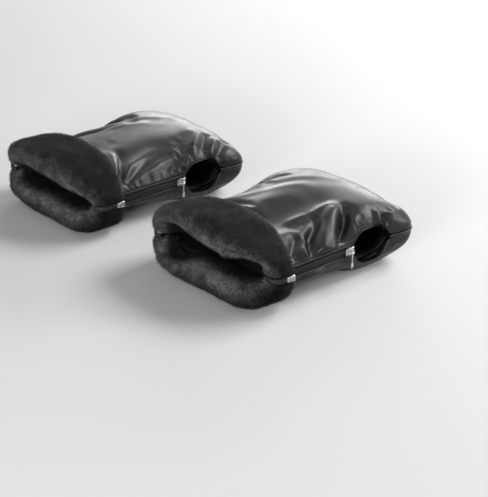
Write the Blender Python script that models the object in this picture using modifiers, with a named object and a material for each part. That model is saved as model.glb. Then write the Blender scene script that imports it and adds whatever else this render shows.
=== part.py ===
# A pair of hand muffs. Each muff is a padded pouch: two leather shells over wadding and a fur
# lining, whose fur turns back over the mouth as a thick cuff. A separating zip closes each side
# as far as a round side opening, and a welt closes the far end.
#
# One muff is modelled in its own frame, with +X from its mouth to its closed end, +Y across
# and z = 0 at the level of its side seams. The pair stands on z = 0 in the world.

import math

import bmesh
import bpy
from mathutils import Vector

MM = 0.001
UPPER = 1
LOWER = -1
RIGHT_HAND_SIDE = -1
LEFT_HAND_SIDE = 1

# How the two muffs lie beside each other
PAIR_PITCH = 252 * MM
PAIR_STAGGER = 20 * MM
SEAM_HEIGHT = 36 * MM

# How far each side of each mouth is drawn back, as the soft cuffs lie
RIGHT_OUTER_RECEDE = 25 * MM
RIGHT_INNER_RECEDE = 4 * MM
LEFT_INNER_RECEDE = 14 * MM
LEFT_OUTER_RECEDE = 8 * MM

# The leather body of one muff
MUFF_LENGTH = 230 * MM
HALF_WIDTH = 80 * MM
CROWN_HEIGHT = 35.5 * MM
CROWN_AT_MOUTH = 29 * MM
KEEL_DEPTH = 38 * MM
KEEL_AT_MOUTH = 21 * MM
SHELL_THICKNESS = 1.2 * MM
END_ROUNDING = 52 * MM
CORNER_RADIUS = 17 * MM
EAR_FLARE = 4 * MM
EDGE_LIFT = 1.7 * MM
SEWN_GAP = 0.5 * MM
PILLOW_SHARE = 0.8
KEEL_SHARE = 0.66
BOXY_SHARE = 0.5

# What lies under the shell, from the outside in
LAYER_GAP = 0.3 * MM
FACET_GAP = 1.4 * MM
WADDING_THICKNESS = 3 * MM
WADDING_MARGIN = 4 * MM
WADDING_END_GAP = 24 * MM
LINING_THICKNESS = 8 * MM

# The turned-back fur cuff
CUFF_CROWN = 15.5 * MM
CUFF_SIDE = 9 * MM
CUFF_CLEARANCE = 0.6 * MM
CUFF_RUN = 48.75 * MM
CUTBACK_SHARE = 0.37
CUFF_LIP = 14 * MM
CUFF_SPLIT = 3.8 * MM
MOUTH_FADE = 60 * MM

# The round side opening
TUNNEL_RADIUS = 20 * MM
TUNNEL_SETBACK = 62.7 * MM
TUNNEL_DROP = 1 * MM
TUNNEL_EASE = 1.5 * MM
TUNNEL_HALF_LENGTH = 24 * MM

# The side zips
ZIP_TOOTH_PITCH = 5 * MM
ZIP_TOOTH_WIDTH = 2.1 * MM
ZIP_TOOTH_REACH = 1.3 * MM
ZIP_SPINE_INNER = 1.7 * MM
ZIP_SPINE_OUTER = 2.5 * MM
ZIP_THICKNESS = 2.6 * MM
ZIP_TAPE_THICKNESS = 0.5 * MM
ZIP_TAPE_GAP = 0.9 * MM
ZIP_TAPE_HEIGHT = 7.5 * MM
ZIP_EDGE = 4.9 * MM
SIDE_BAND_HEIGHT = 9 * MM
SIDE_BAND_THICKNESS = 1.0 * MM
TOP_STOP_LENGTH = 2 * MM

# The zip slider and its pull
SLIDER_LENGTH = 11 * MM
SLIDER_HALF_HEIGHT = 4.4 * MM
SLIDER_PLATE = 1.4 * MM
SLIDER_CLEARANCE = 0.4 * MM
SLIDER_FLANGE = 0.8 * MM
SLIDER_FLANGE_INSET = 1.3 * MM
SLIDER_SETBACK = 9 * MM
BRIDGE_LENGTH = 3 * MM
BRIDGE_HALF_HEIGHT = 1.2 * MM
BAIL_WIRE = 0.7 * MM
BAIL_SPAN = 7 * MM
BAIL_RISE = 3.2 * MM
PULL_LENGTH = 17 * MM
PULL_WIDTH = 4.6 * MM
PULL_THICKNESS = 1.1 * MM
PULL_EYE_RADIUS = 1.3 * MM
PULL_EYE_STEPS = 10
PULL_NECK_SHARE = 0.6
PULL_TIP_SHARE = 0.62

# The zip's lower end, which the turned cuff carries to its free edge
CUFF_CHAIN_HALF_HEIGHT = 2.6 * MM
CUFF_CHAIN_THICKNESS = 2 * MM
CHAIN_START_SHARE = 0.35
ZIP_BOX_LENGTH = 5.5 * MM
ZIP_BOX_HALF_HEIGHT = 3.3 * MM
ZIP_BOX_THICKNESS = 3.4 * MM
ZIP_PIN_LENGTH = 4 * MM
ZIP_PIN_HALF_HEIGHT = 2.7 * MM
ZIP_END_PROUD = 1.2 * MM

# The welt round the closed end
WELT_RADIUS = 1.3 * MM

# How finely each form is cut
ZIP_STRETCH_STEPS = 5
TUNNEL_STEPS = 6
END_STEPS = 5
ROUND_STEPS = 12
WADDING_ROUND_STEPS = 12
CUFF_ROUND_STEPS = 12
NOSE_STEPS = 6
BAND_STEPS = 2
BAIL_STEPS = 8
PULL_TIP_STEPS = 6
WELD_DISTANCE = 0.01 * MM

# Worked out from the sizes above
END_X = MUFF_LENGTH / 2 - WELT_RADIUS
NOSE_X = -MUFF_LENGTH / 2
TUNNEL_X = END_X - TUNNEL_SETBACK
TUNNEL_START = TUNNEL_X - TUNNEL_HALF_LENGTH
TUNNEL_END = TUNNEL_X + TUNNEL_HALF_LENGTH
WADDING_DEPTH = SHELL_THICKNESS + FACET_GAP
LINING_DEPTH = WADDING_DEPTH + WADDING_THICKNESS + FACET_GAP
WALL_DEPTH = LINING_DEPTH + LINING_THICKNESS
ROLL_RADIUS = (CUFF_CROWN + WALL_DEPTH) / 2
SHELL_FRONT_X = NOSE_X + ROLL_RADIUS
LAYERS_START_X = SHELL_FRONT_X + FACET_GAP
LINING_START_X = SHELL_FRONT_X + CUFF_LIP + FACET_GAP
CUFF_EDGE_X = SHELL_FRONT_X + CUFF_RUN
CUFF_SIDE_CUTBACK = CUTBACK_SHARE * CUFF_RUN
ZIP_PLANE = HALF_WIDTH - ZIP_THICKNESS / 2
SLIDER_REST_X = TUNNEL_START - SLIDER_SETBACK


def eased(share):
    """A share from 0 to 1, slow at both ends."""
    share = min(max(share, 0.0), 1.0)
    return share * share * (3 - 2 * share)


def quarter_round(share):
    """Rises steeply from 0 and levels out at 1, like a pillow's edge."""
    share = min(max(share, 0.0), 1.0)
    return (1 - (1 - share) ** 2.2) ** (1 / 2.2)


def arch(x):
    """1 over the middle of the side opening, falling to 0 at its two ends."""
    offset = min(abs(x - TUNNEL_X) / TUNNEL_HALF_LENGTH, 1.0)
    return math.sqrt(1 - offset * offset)


def boxiness(x, half):
    """The exponent of the cross-section, which is squarer where it stretches over the opening."""
    reach = 2 * TUNNEL_HALF_LENGTH
    nearness = eased(1 - abs(x - TUNNEL_X) / reach)
    plain = PILLOW_SHARE if half == UPPER else KEEL_SHARE
    return plain + (BOXY_SHARE - plain) * nearness


def half_width(x, lift):
    """Half the body's width at x, lift above the shell's outer face (negative is inside)."""
    flare_start = TUNNEL_END - TUNNEL_HALF_LENGTH / 2
    corner_centre = END_X - CORNER_RADIUS
    flare = EAR_FLARE * eased((x - flare_start) / (corner_centre - flare_start))
    width = HALF_WIDTH + flare
    past_corner = max(x - corner_centre, 0.0)
    radius = CORNER_RADIUS + lift
    rounded = math.sqrt(max(radius * radius - past_corner * past_corner, 0.0))
    return width - CORNER_RADIUS + rounded


def half_height(x, lift, half):
    """How far the upper or lower half stands from the seam level at x."""
    if half == UPPER:
        at_mouth, full = CROWN_AT_MOUTH, CROWN_HEIGHT
    else:
        at_mouth, full = KEEL_AT_MOUTH, KEEL_DEPTH
    body = at_mouth + (full - at_mouth) * eased((x - CUFF_EDGE_X) / (TUNNEL_X - CUFF_EDGE_X))
    left = (END_X + lift - x) / (END_ROUNDING + lift)
    return EDGE_LIFT + (body + lift - EDGE_LIFT) * quarter_round(left)


class Muff:
    """One muff: its frame, the first word of its pieces' names, and how its mouth lies."""

    def __init__(self, hand, frame, outer_recede, inner_recede):
        self.hand = hand
        self.frame = frame
        self.outer_side = RIGHT_HAND_SIDE if hand == "right" else LEFT_HAND_SIDE
        self.recede = {self.outer_side: outer_recede, -self.outer_side: inner_recede}

    def sides(self):
        return ("outer", self.outer_side), ("inner", -self.outer_side)


def body_point(muff, x, angle, lift, half):
    """A point on the pillow form. Angle runs from the right-hand seam, 0, to the left-hand one, pi."""
    power = boxiness(x, half)
    cosine = math.cos(angle)
    across = -math.copysign(abs(cosine) ** power, cosine)
    upward = max(math.sin(angle), 0.0) ** power
    recede = muff.recede[RIGHT_HAND_SIDE if cosine > 0 else LEFT_HAND_SIDE]
    receded = recede * abs(cosine) ** 6 * eased((CUFF_EDGE_X - x) / MOUTH_FADE)
    z = EDGE_LIFT + (half_height(x, lift, half) - EDGE_LIFT) * upward
    z = min(z, SEAM_HEIGHT + min(lift, 0)) if half == LOWER else z
    return Vector((x + receded, half_width(x, lift) * across, half * z))


def seam_angle(x, lift, half, height):
    """The angle at which the pillow form stands at that height from the seam level."""
    tall = half_height(x, lift, half) - EDGE_LIFT
    share = (height - EDGE_LIFT) / tall if tall > 0 else 0.0
    share = min(max(share, 0.0), 0.96)
    return math.asin(share ** (1 / boxiness(x, half)))


def opening_edge(x, half):
    """How far the zip's edge, and then the side opening's, lies from the seam level at x."""
    if x <= TUNNEL_START:
        return ZIP_EDGE
    side = TUNNEL_RADIUS + TUNNEL_EASE - half * TUNNEL_DROP
    low = ZIP_EDGE if x < TUNNEL_X else EDGE_LIFT
    return low + (side - low) * arch(x)


def band_height(x):
    """Height of the leather band along the zip, which tapers out behind the opening."""
    return SIDE_BAND_HEIGHT * (1 - eased((x - TUNNEL_START) / (TUNNEL_END - TUNNEL_START)))


def shell_edge(x, half):
    """How far a shell's side edge lies from the seam level."""
    edge = opening_edge(x, half)
    if half == UPPER and x < TUNNEL_END:
        edge += band_height(x) + SEWN_GAP
    return edge


def spread(start, end, steps):
    """Evenly spaced values, both ends included."""
    return [start + (end - start) * step / steps for step in range(steps + 1)]


def body_stations(start, lift):
    """Places along the body, closer together over the opening and at the rounded end."""
    front = spread(start, TUNNEL_START, ZIP_STRETCH_STEPS)
    opening = spread(TUNNEL_START, TUNNEL_END, TUNNEL_STEPS)
    tail = END_X + lift - TUNNEL_END
    end = [TUNNEL_END + tail * math.sin(turn) for turn in spread(0, math.pi / 2, END_STEPS)]
    return front + opening[1:] + end[1:]


def make_material(name, colour, roughness, metallic=0.0):
    material = bpy.data.materials.new(name)
    material.use_nodes = True
    shader = material.node_tree.nodes["Principled BSDF"]
    shader.inputs["Base Color"].default_value = (*colour, 1.0)
    shader.inputs["Roughness"].default_value = roughness
    shader.inputs["Metallic"].default_value = metallic
    return material


def finish_mesh(name, mesh_builder, material):
    """Turns a bmesh into a smooth-shaded mesh with its material."""
    mesh = bpy.data.meshes.new(name)
    mesh_builder.to_mesh(mesh)
    mesh_builder.free()
    mesh.materials.append(material)
    mesh.shade_smooth()
    mesh.set_sharp_from_angle(angle=math.radians(40))
    return mesh


def slab_mesh(name, columns, rows, place, material):
    """A grid with thickness: its corner (i, j) is at place(i, j, 0) outside, place(i, j, 1) inside."""
    slab = bmesh.new()
    bmesh.ops.create_grid(slab, x_segments=columns, y_segments=rows, size=1)
    outside = list(slab.verts)
    made = bmesh.ops.extrude_face_region(slab, geom=slab.faces[:], use_keep_orig=True)
    inside = [item for item in made["geom"] if isinstance(item, bmesh.types.BMVert)]
    for face, verts in enumerate((outside, inside)):
        for vert in verts:
            column = round((vert.co.x + 1) / 2 * columns)
            row = round((vert.co.y + 1) / 2 * rows)
            vert.co = place(column, row, face)
    bmesh.ops.recalc_face_normals(slab, faces=slab.faces)
    if slab.calc_volume(signed=True) < 0:
        bmesh.ops.reverse_faces(slab, faces=slab.faces)
    return finish_mesh(name, slab, material)


def tube_mesh(name, around, steps, place, material):
    """A closed tube of that many corners around, whose corner k at step j is place(k, j)."""
    tube = bmesh.new()
    bmesh.ops.create_cone(
        tube, cap_ends=True, segments=around, radius1=1, radius2=1, depth=2
    )
    long_edges = [edge for edge in tube.edges if abs(edge.verts[0].co.z - edge.verts[1].co.z) > 1]
    bmesh.ops.subdivide_edges(tube, edges=long_edges, cuts=steps - 1)
    first = min(math.atan2(vert.co.y, vert.co.x) for vert in tube.verts)
    for vert in tube.verts:
        turn = (math.atan2(vert.co.y, vert.co.x) - first) / math.tau
        corner = round(turn * around) % around
        step = round((vert.co.z + 1) / 2 * steps)
        vert.co = place(corner, step)
    if tube.calc_volume(signed=True) < 0:
        bmesh.ops.reverse_faces(tube, faces=tube.faces)
    return finish_mesh(name, tube, material)


def box_mesh(name, size, material):
    """A box about the origin."""
    box = bmesh.new()
    bmesh.ops.create_cube(box, size=1)
    bmesh.ops.scale(box, vec=size, verts=box.verts)
    return finish_mesh(name, box, material)


def put(muff, name, data, location=(0, 0, 0), rotation=(0, 0, 0)):
    """Places mesh or curve data in a muff's frame, as an object named for the muff."""
    piece = bpy.data.objects.new(f"{muff.hand}_{name}", data)
    muff.frame.users_collection[0].objects.link(piece)
    piece.parent = muff.frame
    piece.location = location
    piece.rotation_euler = rotation
    return piece


def soft_bevel(piece, width, segments=2):
    bevel = piece.modifiers.new("soft_edges", "BEVEL")
    bevel.width = width
    bevel.segments = segments
    return piece


def flat_outline(name, points, thickness, material):
    """A flat outline in its own XY plane, as thick as said, centred on that plane."""
    curve = bpy.data.curves.new(name, "CURVE")
    curve.dimensions = "2D"
    curve.fill_mode = "BOTH"
    curve.extrude = thickness / 2
    spline = curve.splines.new("POLY")
    spline.points.add(len(points) - 1)
    for point, (x, y) in zip(spline.points, points):
        point.co = (x, y, 0, 1)
    spline.use_cyclic_u = True
    curve.materials.append(material)
    return curve


def round_wire(name, points, radius, sides_resolution, material):
    """A round wire through the points, with filled ends."""
    curve = bpy.data.curves.new(name, "CURVE")
    curve.dimensions = "3D"
    curve.bevel_depth = radius
    curve.bevel_resolution = sides_resolution
    curve.use_fill_caps = True
    spline = curve.splines.new("POLY")
    spline.points.add(len(points) - 1)
    for point, place in zip(spline.points, points):
        point.co = (*place, 1)
    curve.materials.append(material)
    return curve


def mesh_from_curve(curve, name):
    """A curve's solid as a mesh with its caps welded, so that it can be joined or cut."""
    guide = bpy.data.objects.new(name, curve)
    bpy.context.scene.collection.objects.link(guide)
    graph = bpy.context.evaluated_depsgraph_get()
    mesh = bpy.data.meshes.new_from_object(guide.evaluated_get(graph))
    welded = bmesh.new()
    welded.from_mesh(mesh)
    bmesh.ops.remove_doubles(welded, verts=welded.verts, dist=WELD_DISTANCE)
    welded.to_mesh(mesh)
    welded.free()
    bpy.data.objects.remove(guide)
    return mesh


# The leather shells, wadding and lining

def add_layer(muff, name, half, stations, lifts, edge_height, rows, material):
    """One layer of the upper or lower half, between an outer and an inner lift."""

    def place(column, row, face):
        lift = lifts[face]
        x = stations[face][column]
        edge = seam_angle(x, lift, half, edge_height(x, half))
        angle = edge + (math.pi - 2 * edge) * row / rows
        return body_point(muff, x, angle, lift, half)

    mesh = slab_mesh(name, len(stations[0]) - 1, rows, place, material)
    return put(muff, name, mesh)


def add_shell(muff, half_name, half, material):
    lifts = (0.0, -SHELL_THICKNESS)
    stations = [body_stations(LAYERS_START_X, lift) for lift in lifts]
    name = f"{half_name}_shell"
    return add_layer(muff, name, half, stations, lifts, shell_edge, ROUND_STEPS, material)


def lining_edge(x, half):
    return opening_edge(x, half) + SEWN_GAP


def add_lining(muff, half_name, half, material):
    lifts = (-LINING_DEPTH, -WALL_DEPTH)
    stations = [body_stations(LINING_START_X, lift) for lift in lifts]
    name = f"{half_name}_lining"
    return add_layer(muff, name, half, stations, lifts, lining_edge, ROUND_STEPS, material)


def wadding_edge(x, half):
    tape_end = ZIP_SPINE_OUTER + LAYER_GAP + ZIP_TAPE_HEIGHT
    return max(opening_edge(x, half), tape_end) + WADDING_MARGIN


def add_wadding(muff, half_name, half, material):
    """The wadding fills the crown and stops short of the seams."""
    lifts = (-WADDING_DEPTH, -WADDING_DEPTH - WADDING_THICKNESS)
    stations = body_stations(LAYERS_START_X, 0.0)
    columns = [x for x in stations if x < END_X - WADDING_END_GAP]
    name = f"{half_name}_wadding"
    return add_layer(
        muff, name, half, (columns, columns), lifts, wadding_edge, WADDING_ROUND_STEPS, material
    )


# The turned-back cuffs

def cuff_thickness(angle):
    return CUFF_SIDE + (CUFF_CROWN - CUFF_SIDE) * math.sin(angle)


def cuff_section(angle):
    """The cuff's hooked section, as (x, lift) corners: over the shell, round the nose, and in."""
    top = cuff_thickness(angle)
    edge_x = CUFF_EDGE_X - CUFF_SIDE_CUTBACK * math.cos(angle) ** 2
    nose_radius = (top + WALL_DEPTH) / 2
    nose_mid = (top - WALL_DEPTH) / 2
    nose_x = NOSE_X + ROLL_RADIUS
    slot_radius = (LINING_DEPTH + CUFF_CLEARANCE) / 2
    slot_mid = (CUFF_CLEARANCE - LINING_DEPTH) / 2
    lip_x = nose_x + CUFF_LIP
    over = [
        (edge_x, top * 0.25),
        (edge_x, top * 0.6),
        (edge_x - top * 0.3, top * 0.9),
        (edge_x - top * 0.9, top),
        ((edge_x + nose_x) / 2 - top * 0.3, top),
    ]
    nose = [
        (nose_x - nose_radius * math.sin(turn), nose_mid + nose_radius * math.cos(turn))
        for turn in spread(0, math.pi, NOSE_STEPS)
    ]
    inside = [(lip_x, -WALL_DEPTH), (lip_x, -LINING_DEPTH)]
    slot = [
        (nose_x - slot_radius * math.sin(turn), slot_mid + slot_radius * math.cos(turn))
        for turn in spread(math.pi, 0, 3)
    ]
    return over + nose + inside + slot + [(edge_x - top * 0.2, CUFF_CLEARANCE)]


def add_cuff(muff, half_name, half, material):
    corners = len(cuff_section(0.0))
    split = seam_angle(SHELL_FRONT_X, 0.0, half, CUFF_SPLIT)

    def place(corner, step):
        angle = split + (math.pi - 2 * split) * step / CUFF_ROUND_STEPS
        x, lift = cuff_section(angle)[corner]
        return body_point(muff, x, angle, lift, half)

    mesh = tube_mesh("cuff", corners, CUFF_ROUND_STEPS, place, material)
    return put(muff, f"{half_name}_cuff", mesh)


# The closed end's welt

def add_end_welt(muff, material):
    """Piping round the closed end, from one side opening to the other."""
    tail = [x for x in body_stations(LAYERS_START_X, 0.0) if x > TUNNEL_END - EDGE_LIFT]
    near = [(x, -half_width(x, 0.0), 0) for x in tail]
    far = [(x, -y, z) for x, y, z in reversed(near)]
    curve = round_wire("welt", near + far, WELT_RADIUS, 1, material)
    return put(muff, "end_welt", curve)


# The side zips

def side_x(muff, side, x):
    """Where the body's x comes to lie at a side seam, once the mouth is drawn back."""
    angle = 0.0 if side == RIGHT_HAND_SIDE else math.pi
    return body_point(muff, x, angle, 0.0, UPPER).x


def zip_stations(muff, side):
    start = side_x(muff, side, SHELL_FRONT_X)
    return spread(start, TUNNEL_START - SEWN_GAP, ZIP_STRETCH_STEPS)


def add_strip(muff, name, side, half, columns, lifts, heights, material):
    """A strip of the body's side wall, with its rows at the heights that heights(x) gives."""

    def place(column, row, face):
        x = columns[column]
        angle = seam_angle(x, lifts[face], half, heights(x)[row])
        angle = angle if side == RIGHT_HAND_SIDE else math.pi - angle
        point = body_point(muff, x, angle, lifts[face], half)
        point.x = x
        return point

    rows = len(heights(columns[0])) - 1
    mesh = slab_mesh(name, len(columns) - 1, rows, place, material)
    return put(muff, name, mesh)


def add_side_band(muff, side_name, side, material):
    """The leather band that joins the upper shell to the zip and goes on over the opening."""
    tunnel = spread(TUNNEL_START, TUNNEL_END, TUNNEL_STEPS)
    columns = zip_stations(muff, side)[:-1] + tunnel[:-1]
    name = f"{side_name}_side_band"
    lifts = (0.0, -SIDE_BAND_THICKNESS)

    def heights(x):
        low = opening_edge(x, UPPER)
        return spread(low, low + band_height(x), BAND_STEPS)

    return add_strip(muff, name, side, UPPER, columns, lifts, heights, material)


def add_zip_tape(muff, side_name, side, half_name, half, material):
    """The tape that carries one row of teeth, flat where the slider runs, behind its sewn edge."""
    outer = -SHELL_THICKNESS - ZIP_TAPE_GAP
    lifts = (outer, outer - ZIP_TAPE_THICKNESS)
    columns = zip_stations(muff, side)
    name = f"{side_name}_{half_name}_zip_tape"

    def heights(x):
        low = ZIP_SPINE_OUTER + LAYER_GAP
        return low, SLIDER_HALF_HEIGHT + SLIDER_CLEARANCE, low + ZIP_TAPE_HEIGHT

    return add_strip(muff, name, side, half, columns, lifts, heights, material)


def teeth_outline(start, half):
    """One row of teeth on its spine, as a flat comb that ends in the top stop."""
    stop = TUNNEL_START - SEWN_GAP - TOP_STOP_LENGTH
    last = SLIDER_REST_X + SLIDER_LENGTH / 2 - BRIDGE_LENGTH - SLIDER_CLEARANCE
    count = int((last - start) / ZIP_TOOTH_PITCH - 0.5)
    shift = 0 if half == UPPER else ZIP_TOOTH_PITCH / 2
    points = [(start, ZIP_SPINE_OUTER), (start, ZIP_SPINE_INNER)]
    for tooth in range(count):
        left = start + shift + (tooth + 0.25) * ZIP_TOOTH_PITCH
        right = left + ZIP_TOOTH_WIDTH
        points += [
            (left, ZIP_SPINE_INNER),
            (left, -ZIP_TOOTH_REACH),
            (right, -ZIP_TOOTH_REACH),
            (right, ZIP_SPINE_INNER),
        ]
    points += [
        (stop, ZIP_SPINE_INNER),
        (stop, BRIDGE_HALF_HEIGHT),
        (stop + TOP_STOP_LENGTH, BRIDGE_HALF_HEIGHT),
        (stop + TOP_STOP_LENGTH, ZIP_SPINE_OUTER),
    ]
    return points


def add_zip_teeth(muff, side_name, side, half_name, half, material):
    start = zip_stations(muff, side)[0]
    points = [(x, half * z) for x, z in teeth_outline(start, half)]
    curve = flat_outline("zip_teeth", points, ZIP_THICKNESS, material)
    name = f"{side_name}_{half_name}_zip_teeth"
    return put(muff, name, curve, (0, side * ZIP_PLANE, 0), (math.pi / 2, 0, 0))


def slider_sections():
    """The slider's boxes, each as (middle, size), for a zip on the -Y side of its own origin."""
    channel = ZIP_THICKNESS / 2 + SLIDER_CLEARANCE
    length = SLIDER_LENGTH
    tall = 2 * SLIDER_HALF_HEIGHT
    plate_y = channel + SLIDER_PLATE / 2
    bridge_x = (SLIDER_LENGTH - BRIDGE_LENGTH) / 2
    flange_y = -channel + SLIDER_FLANGE / 2
    flange_z = SLIDER_HALF_HEIGHT - SLIDER_FLANGE_INSET / 2
    overlap = SLIDER_PLATE / 4
    return {
        "outer_plate": ((0, -plate_y, 0), (length, SLIDER_PLATE, tall)),
        "inner_plate": ((0, plate_y, 0), (length, SLIDER_PLATE, tall)),
        "bridge": (
            (bridge_x, 0, 0),
            (BRIDGE_LENGTH, 2 * channel + 2 * overlap, 2 * BRIDGE_HALF_HEIGHT),
        ),
        "upper_flange": (
            (0, flange_y - overlap / 2, flange_z),
            (length, SLIDER_FLANGE + overlap, SLIDER_FLANGE_INSET),
        ),
        "lower_flange": (
            (0, flange_y - overlap / 2, -flange_z),
            (length, SLIDER_FLANGE + overlap, SLIDER_FLANGE_INSET),
        ),
    }


def bail_point(share):
    """A point of the arched wire that the pull hangs on, from one foot to the other."""
    outer = ZIP_THICKNESS / 2 + SLIDER_CLEARANCE + SLIDER_PLATE
    turn = math.pi * share
    foot = outer - SLIDER_PLATE / 2
    rise = BAIL_RISE + SLIDER_PLATE / 2
    return (
        -BAIL_SPAN / 2 * math.copysign(abs(math.cos(turn)) ** 0.5, math.cos(turn)),
        -foot - rise * math.sin(turn) ** 0.5,
        0,
    )


def slider_mesh(material):
    """Two plates, their bridge, the flanges that hold the tapes, and the bail, as one body."""
    collection = bpy.data.collections["cutters"]
    pieces = []
    for name, (middle, size) in slider_sections().items():
        piece = bpy.data.objects.new(name, box_mesh(name, size, material))
        collection.objects.link(piece)
        piece.location = middle
        pieces.append(piece)
    points = [bail_point(share) for share in spread(0, 1, BAIL_STEPS)]
    wire = round_wire("bail", points, BAIL_WIRE, 1, material)
    bail = bpy.data.objects.new("bail", mesh_from_curve(wire, "bail_guide"))
    collection.objects.link(bail)
    pieces.append(bail)
    body = pieces[0]
    for other in pieces[1:]:
        join = body.modifiers.new(other.name, "BOOLEAN")
        join.operation = "UNION"
        join.object = other
    bpy.context.view_layer.update()
    graph = bpy.context.evaluated_depsgraph_get()
    joined = bpy.data.meshes.new_from_object(body.evaluated_get(graph))
    joined.transform(body.matrix_world)
    joined.name = "zip_slider"
    for piece in pieces:
        bpy.data.objects.remove(piece)
    return joined


def eye_drop():
    """How far the pull's eye hangs below the wire that it rests on."""
    return PULL_EYE_RADIUS - BAIL_WIRE - SLIDER_CLEARANCE / 2


def ring(radius, centre, steps, turns=math.tau):
    return [
        (radius * math.cos(turn), centre + radius * math.sin(turn))
        for turn in spread(0, turns, steps)
    ]


def pull_profile(material):
    """The pull seen along its hinge: a rolled eye, and a thin tab that hangs from it."""
    outer = PULL_EYE_RADIUS + PULL_THICKNESS
    half = PULL_THICKNESS / 2
    meet = math.acos(half / outer)
    rim = [
        (outer * math.cos(turn), outer * math.sin(turn) - eye_drop())
        for turn in spread(-meet, math.pi + meet, PULL_EYE_STEPS)
    ]
    tail = [(-half, -eye_drop() - PULL_LENGTH), (half, -eye_drop() - PULL_LENGTH)]
    curve = flat_outline("pull_profile", rim + tail, PULL_WIDTH, material)
    hole = curve.splines.new("POLY")
    around = ring(PULL_EYE_RADIUS, -eye_drop(), PULL_EYE_STEPS)[:-1]
    hole.points.add(len(around) - 1)
    for point, (x, y) in zip(hole.points, around):
        point.co = (x, y, 0, 1)
    hole.use_cyclic_u = True
    return curve


def pull_front(material):
    """The pull seen from outside: a narrow eye, then a tab that widens and narrows to its end."""
    neck = PULL_WIDTH * PULL_NECK_SHARE / 2
    wide = PULL_WIDTH / 2 - LAYER_GAP / 2
    tip = PULL_WIDTH * PULL_TIP_SHARE / 2
    top = PULL_EYE_RADIUS + PULL_THICKNESS + PULL_THICKNESS
    shoulder = -eye_drop() - PULL_EYE_RADIUS - 2 * PULL_THICKNESS
    bottom = -eye_drop() - PULL_LENGTH + LAYER_GAP
    side = [(neck, top), (neck, shoulder + PULL_THICKNESS), (wide, shoulder - PULL_THICKNESS)]
    end = [
        (tip * math.cos(turn), bottom + tip - tip * math.sin(turn))
        for turn in spread(0, math.pi, PULL_TIP_STEPS)
    ]
    left = [(-x, y) for x, y in reversed(side)]
    depth = 4 * (PULL_EYE_RADIUS + PULL_THICKNESS)
    return flat_outline("pull_front", side + end + left, depth, material)


def pull_mesh(material):
    """The pull with its hinge at the origin along X, hanging down, as one body."""
    collection = bpy.data.collections["cutters"]
    profile = bpy.data.objects.new("pull", mesh_from_curve(pull_profile(material), "profile"))
    front = bpy.data.objects.new("front", mesh_from_curve(pull_front(material), "front_guide"))
    profile.rotation_euler = (math.pi / 2, 0, math.pi / 2)
    front.rotation_euler = (math.pi / 2, 0, 0)
    collection.objects.link(profile)
    collection.objects.link(front)
    trim = profile.modifiers.new("front", "BOOLEAN")
    trim.operation = "INTERSECT"
    trim.object = front
    bpy.context.view_layer.update()
    graph = bpy.context.evaluated_depsgraph_get()
    mesh = bpy.data.meshes.new_from_object(profile.evaluated_get(graph))
    mesh.transform(profile.matrix_world)
    mesh.name = "zip_pull"
    for piece in (profile, front):
        bpy.data.objects.remove(piece)
    return mesh


def add_zip_slider(muff, side_name, side, slider, pull):
    place = (SLIDER_REST_X, side * ZIP_PLANE, 0)
    turn = (0 if side == RIGHT_HAND_SIDE else math.pi, 0, 0)
    put(muff, f"{side_name}_zip_slider", slider, place, turn)
    hinge = ZIP_THICKNESS / 2 + SLIDER_CLEARANCE + SLIDER_PLATE + BAIL_RISE
    at = (SLIDER_REST_X, side * (ZIP_PLANE + hinge), 0)
    put(muff, f"{side_name}_zip_pull", pull, at)


# The zip's end on the turned cuff

def cuff_edge_x(muff, side):
    """Where the cuff's free edge comes to lie at a side seam."""
    return side_x(muff, side, CUFF_EDGE_X - CUFF_SIDE_CUTBACK)


def cuff_side_path(muff, side, depth):
    """The cuff's section at the side seam, from inside the mouth to the pin, as (x, y)."""
    top = cuff_thickness(0.0) - depth
    wall = WALL_DEPTH - depth
    radius = (top + wall) / 2
    middle = (top - wall) / 2
    nose_x = side_x(muff, side, SHELL_FRONT_X)
    nose = [
        (nose_x - radius * math.sin(turn), HALF_WIDTH + middle - radius * math.cos(turn))
        for turn in spread(CHAIN_START_SHARE * math.pi, math.pi, NOSE_STEPS)
    ]
    end = cuff_edge_x(muff, side) - ZIP_BOX_LENGTH - ZIP_PIN_LENGTH - 2 * LAYER_GAP
    return nose + [(end, HALF_WIDTH + top)]


def add_cuff_chain(muff, side_name, side, material):
    """The closed zip that comes round the turned cuff, between its two halves."""
    outer = cuff_side_path(muff, side, 0.0)
    inner = cuff_side_path(muff, side, CUFF_CHAIN_THICKNESS)
    points = [(x, side * y) for x, y in outer + inner[::-1]]
    curve = flat_outline("cuff_chain", points, 2 * CUFF_CHAIN_HALF_HEIGHT, material)
    return put(muff, f"{side_name}_cuff_chain", curve)


def add_zip_end(muff, side_name, side, material):
    """The insertion pin and the retaining box at the zip's lower end."""
    outer_y = HALF_WIDTH + CUFF_SIDE + ZIP_END_PROUD
    y = side * (outer_y - ZIP_BOX_THICKNESS / 2)
    end_x = cuff_edge_x(muff, side)
    box_x = end_x - ZIP_BOX_LENGTH / 2
    pin_x = end_x - ZIP_BOX_LENGTH - LAYER_GAP - ZIP_PIN_LENGTH / 2
    box_size = (ZIP_BOX_LENGTH, ZIP_BOX_THICKNESS, 2 * ZIP_BOX_HALF_HEIGHT)
    pin_size = (ZIP_PIN_LENGTH, ZIP_BOX_THICKNESS, 2 * ZIP_PIN_HALF_HEIGHT)
    for name, x, size in (("zip_box", box_x, box_size), ("zip_pin", pin_x, pin_size)):
        mesh = box_mesh(name, size, material)
        piece = put(muff, f"{side_name}_{name}", mesh, (x, y, 0))
        soft_bevel(piece, ZIP_BOX_THICKNESS / 6, 1)


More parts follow.
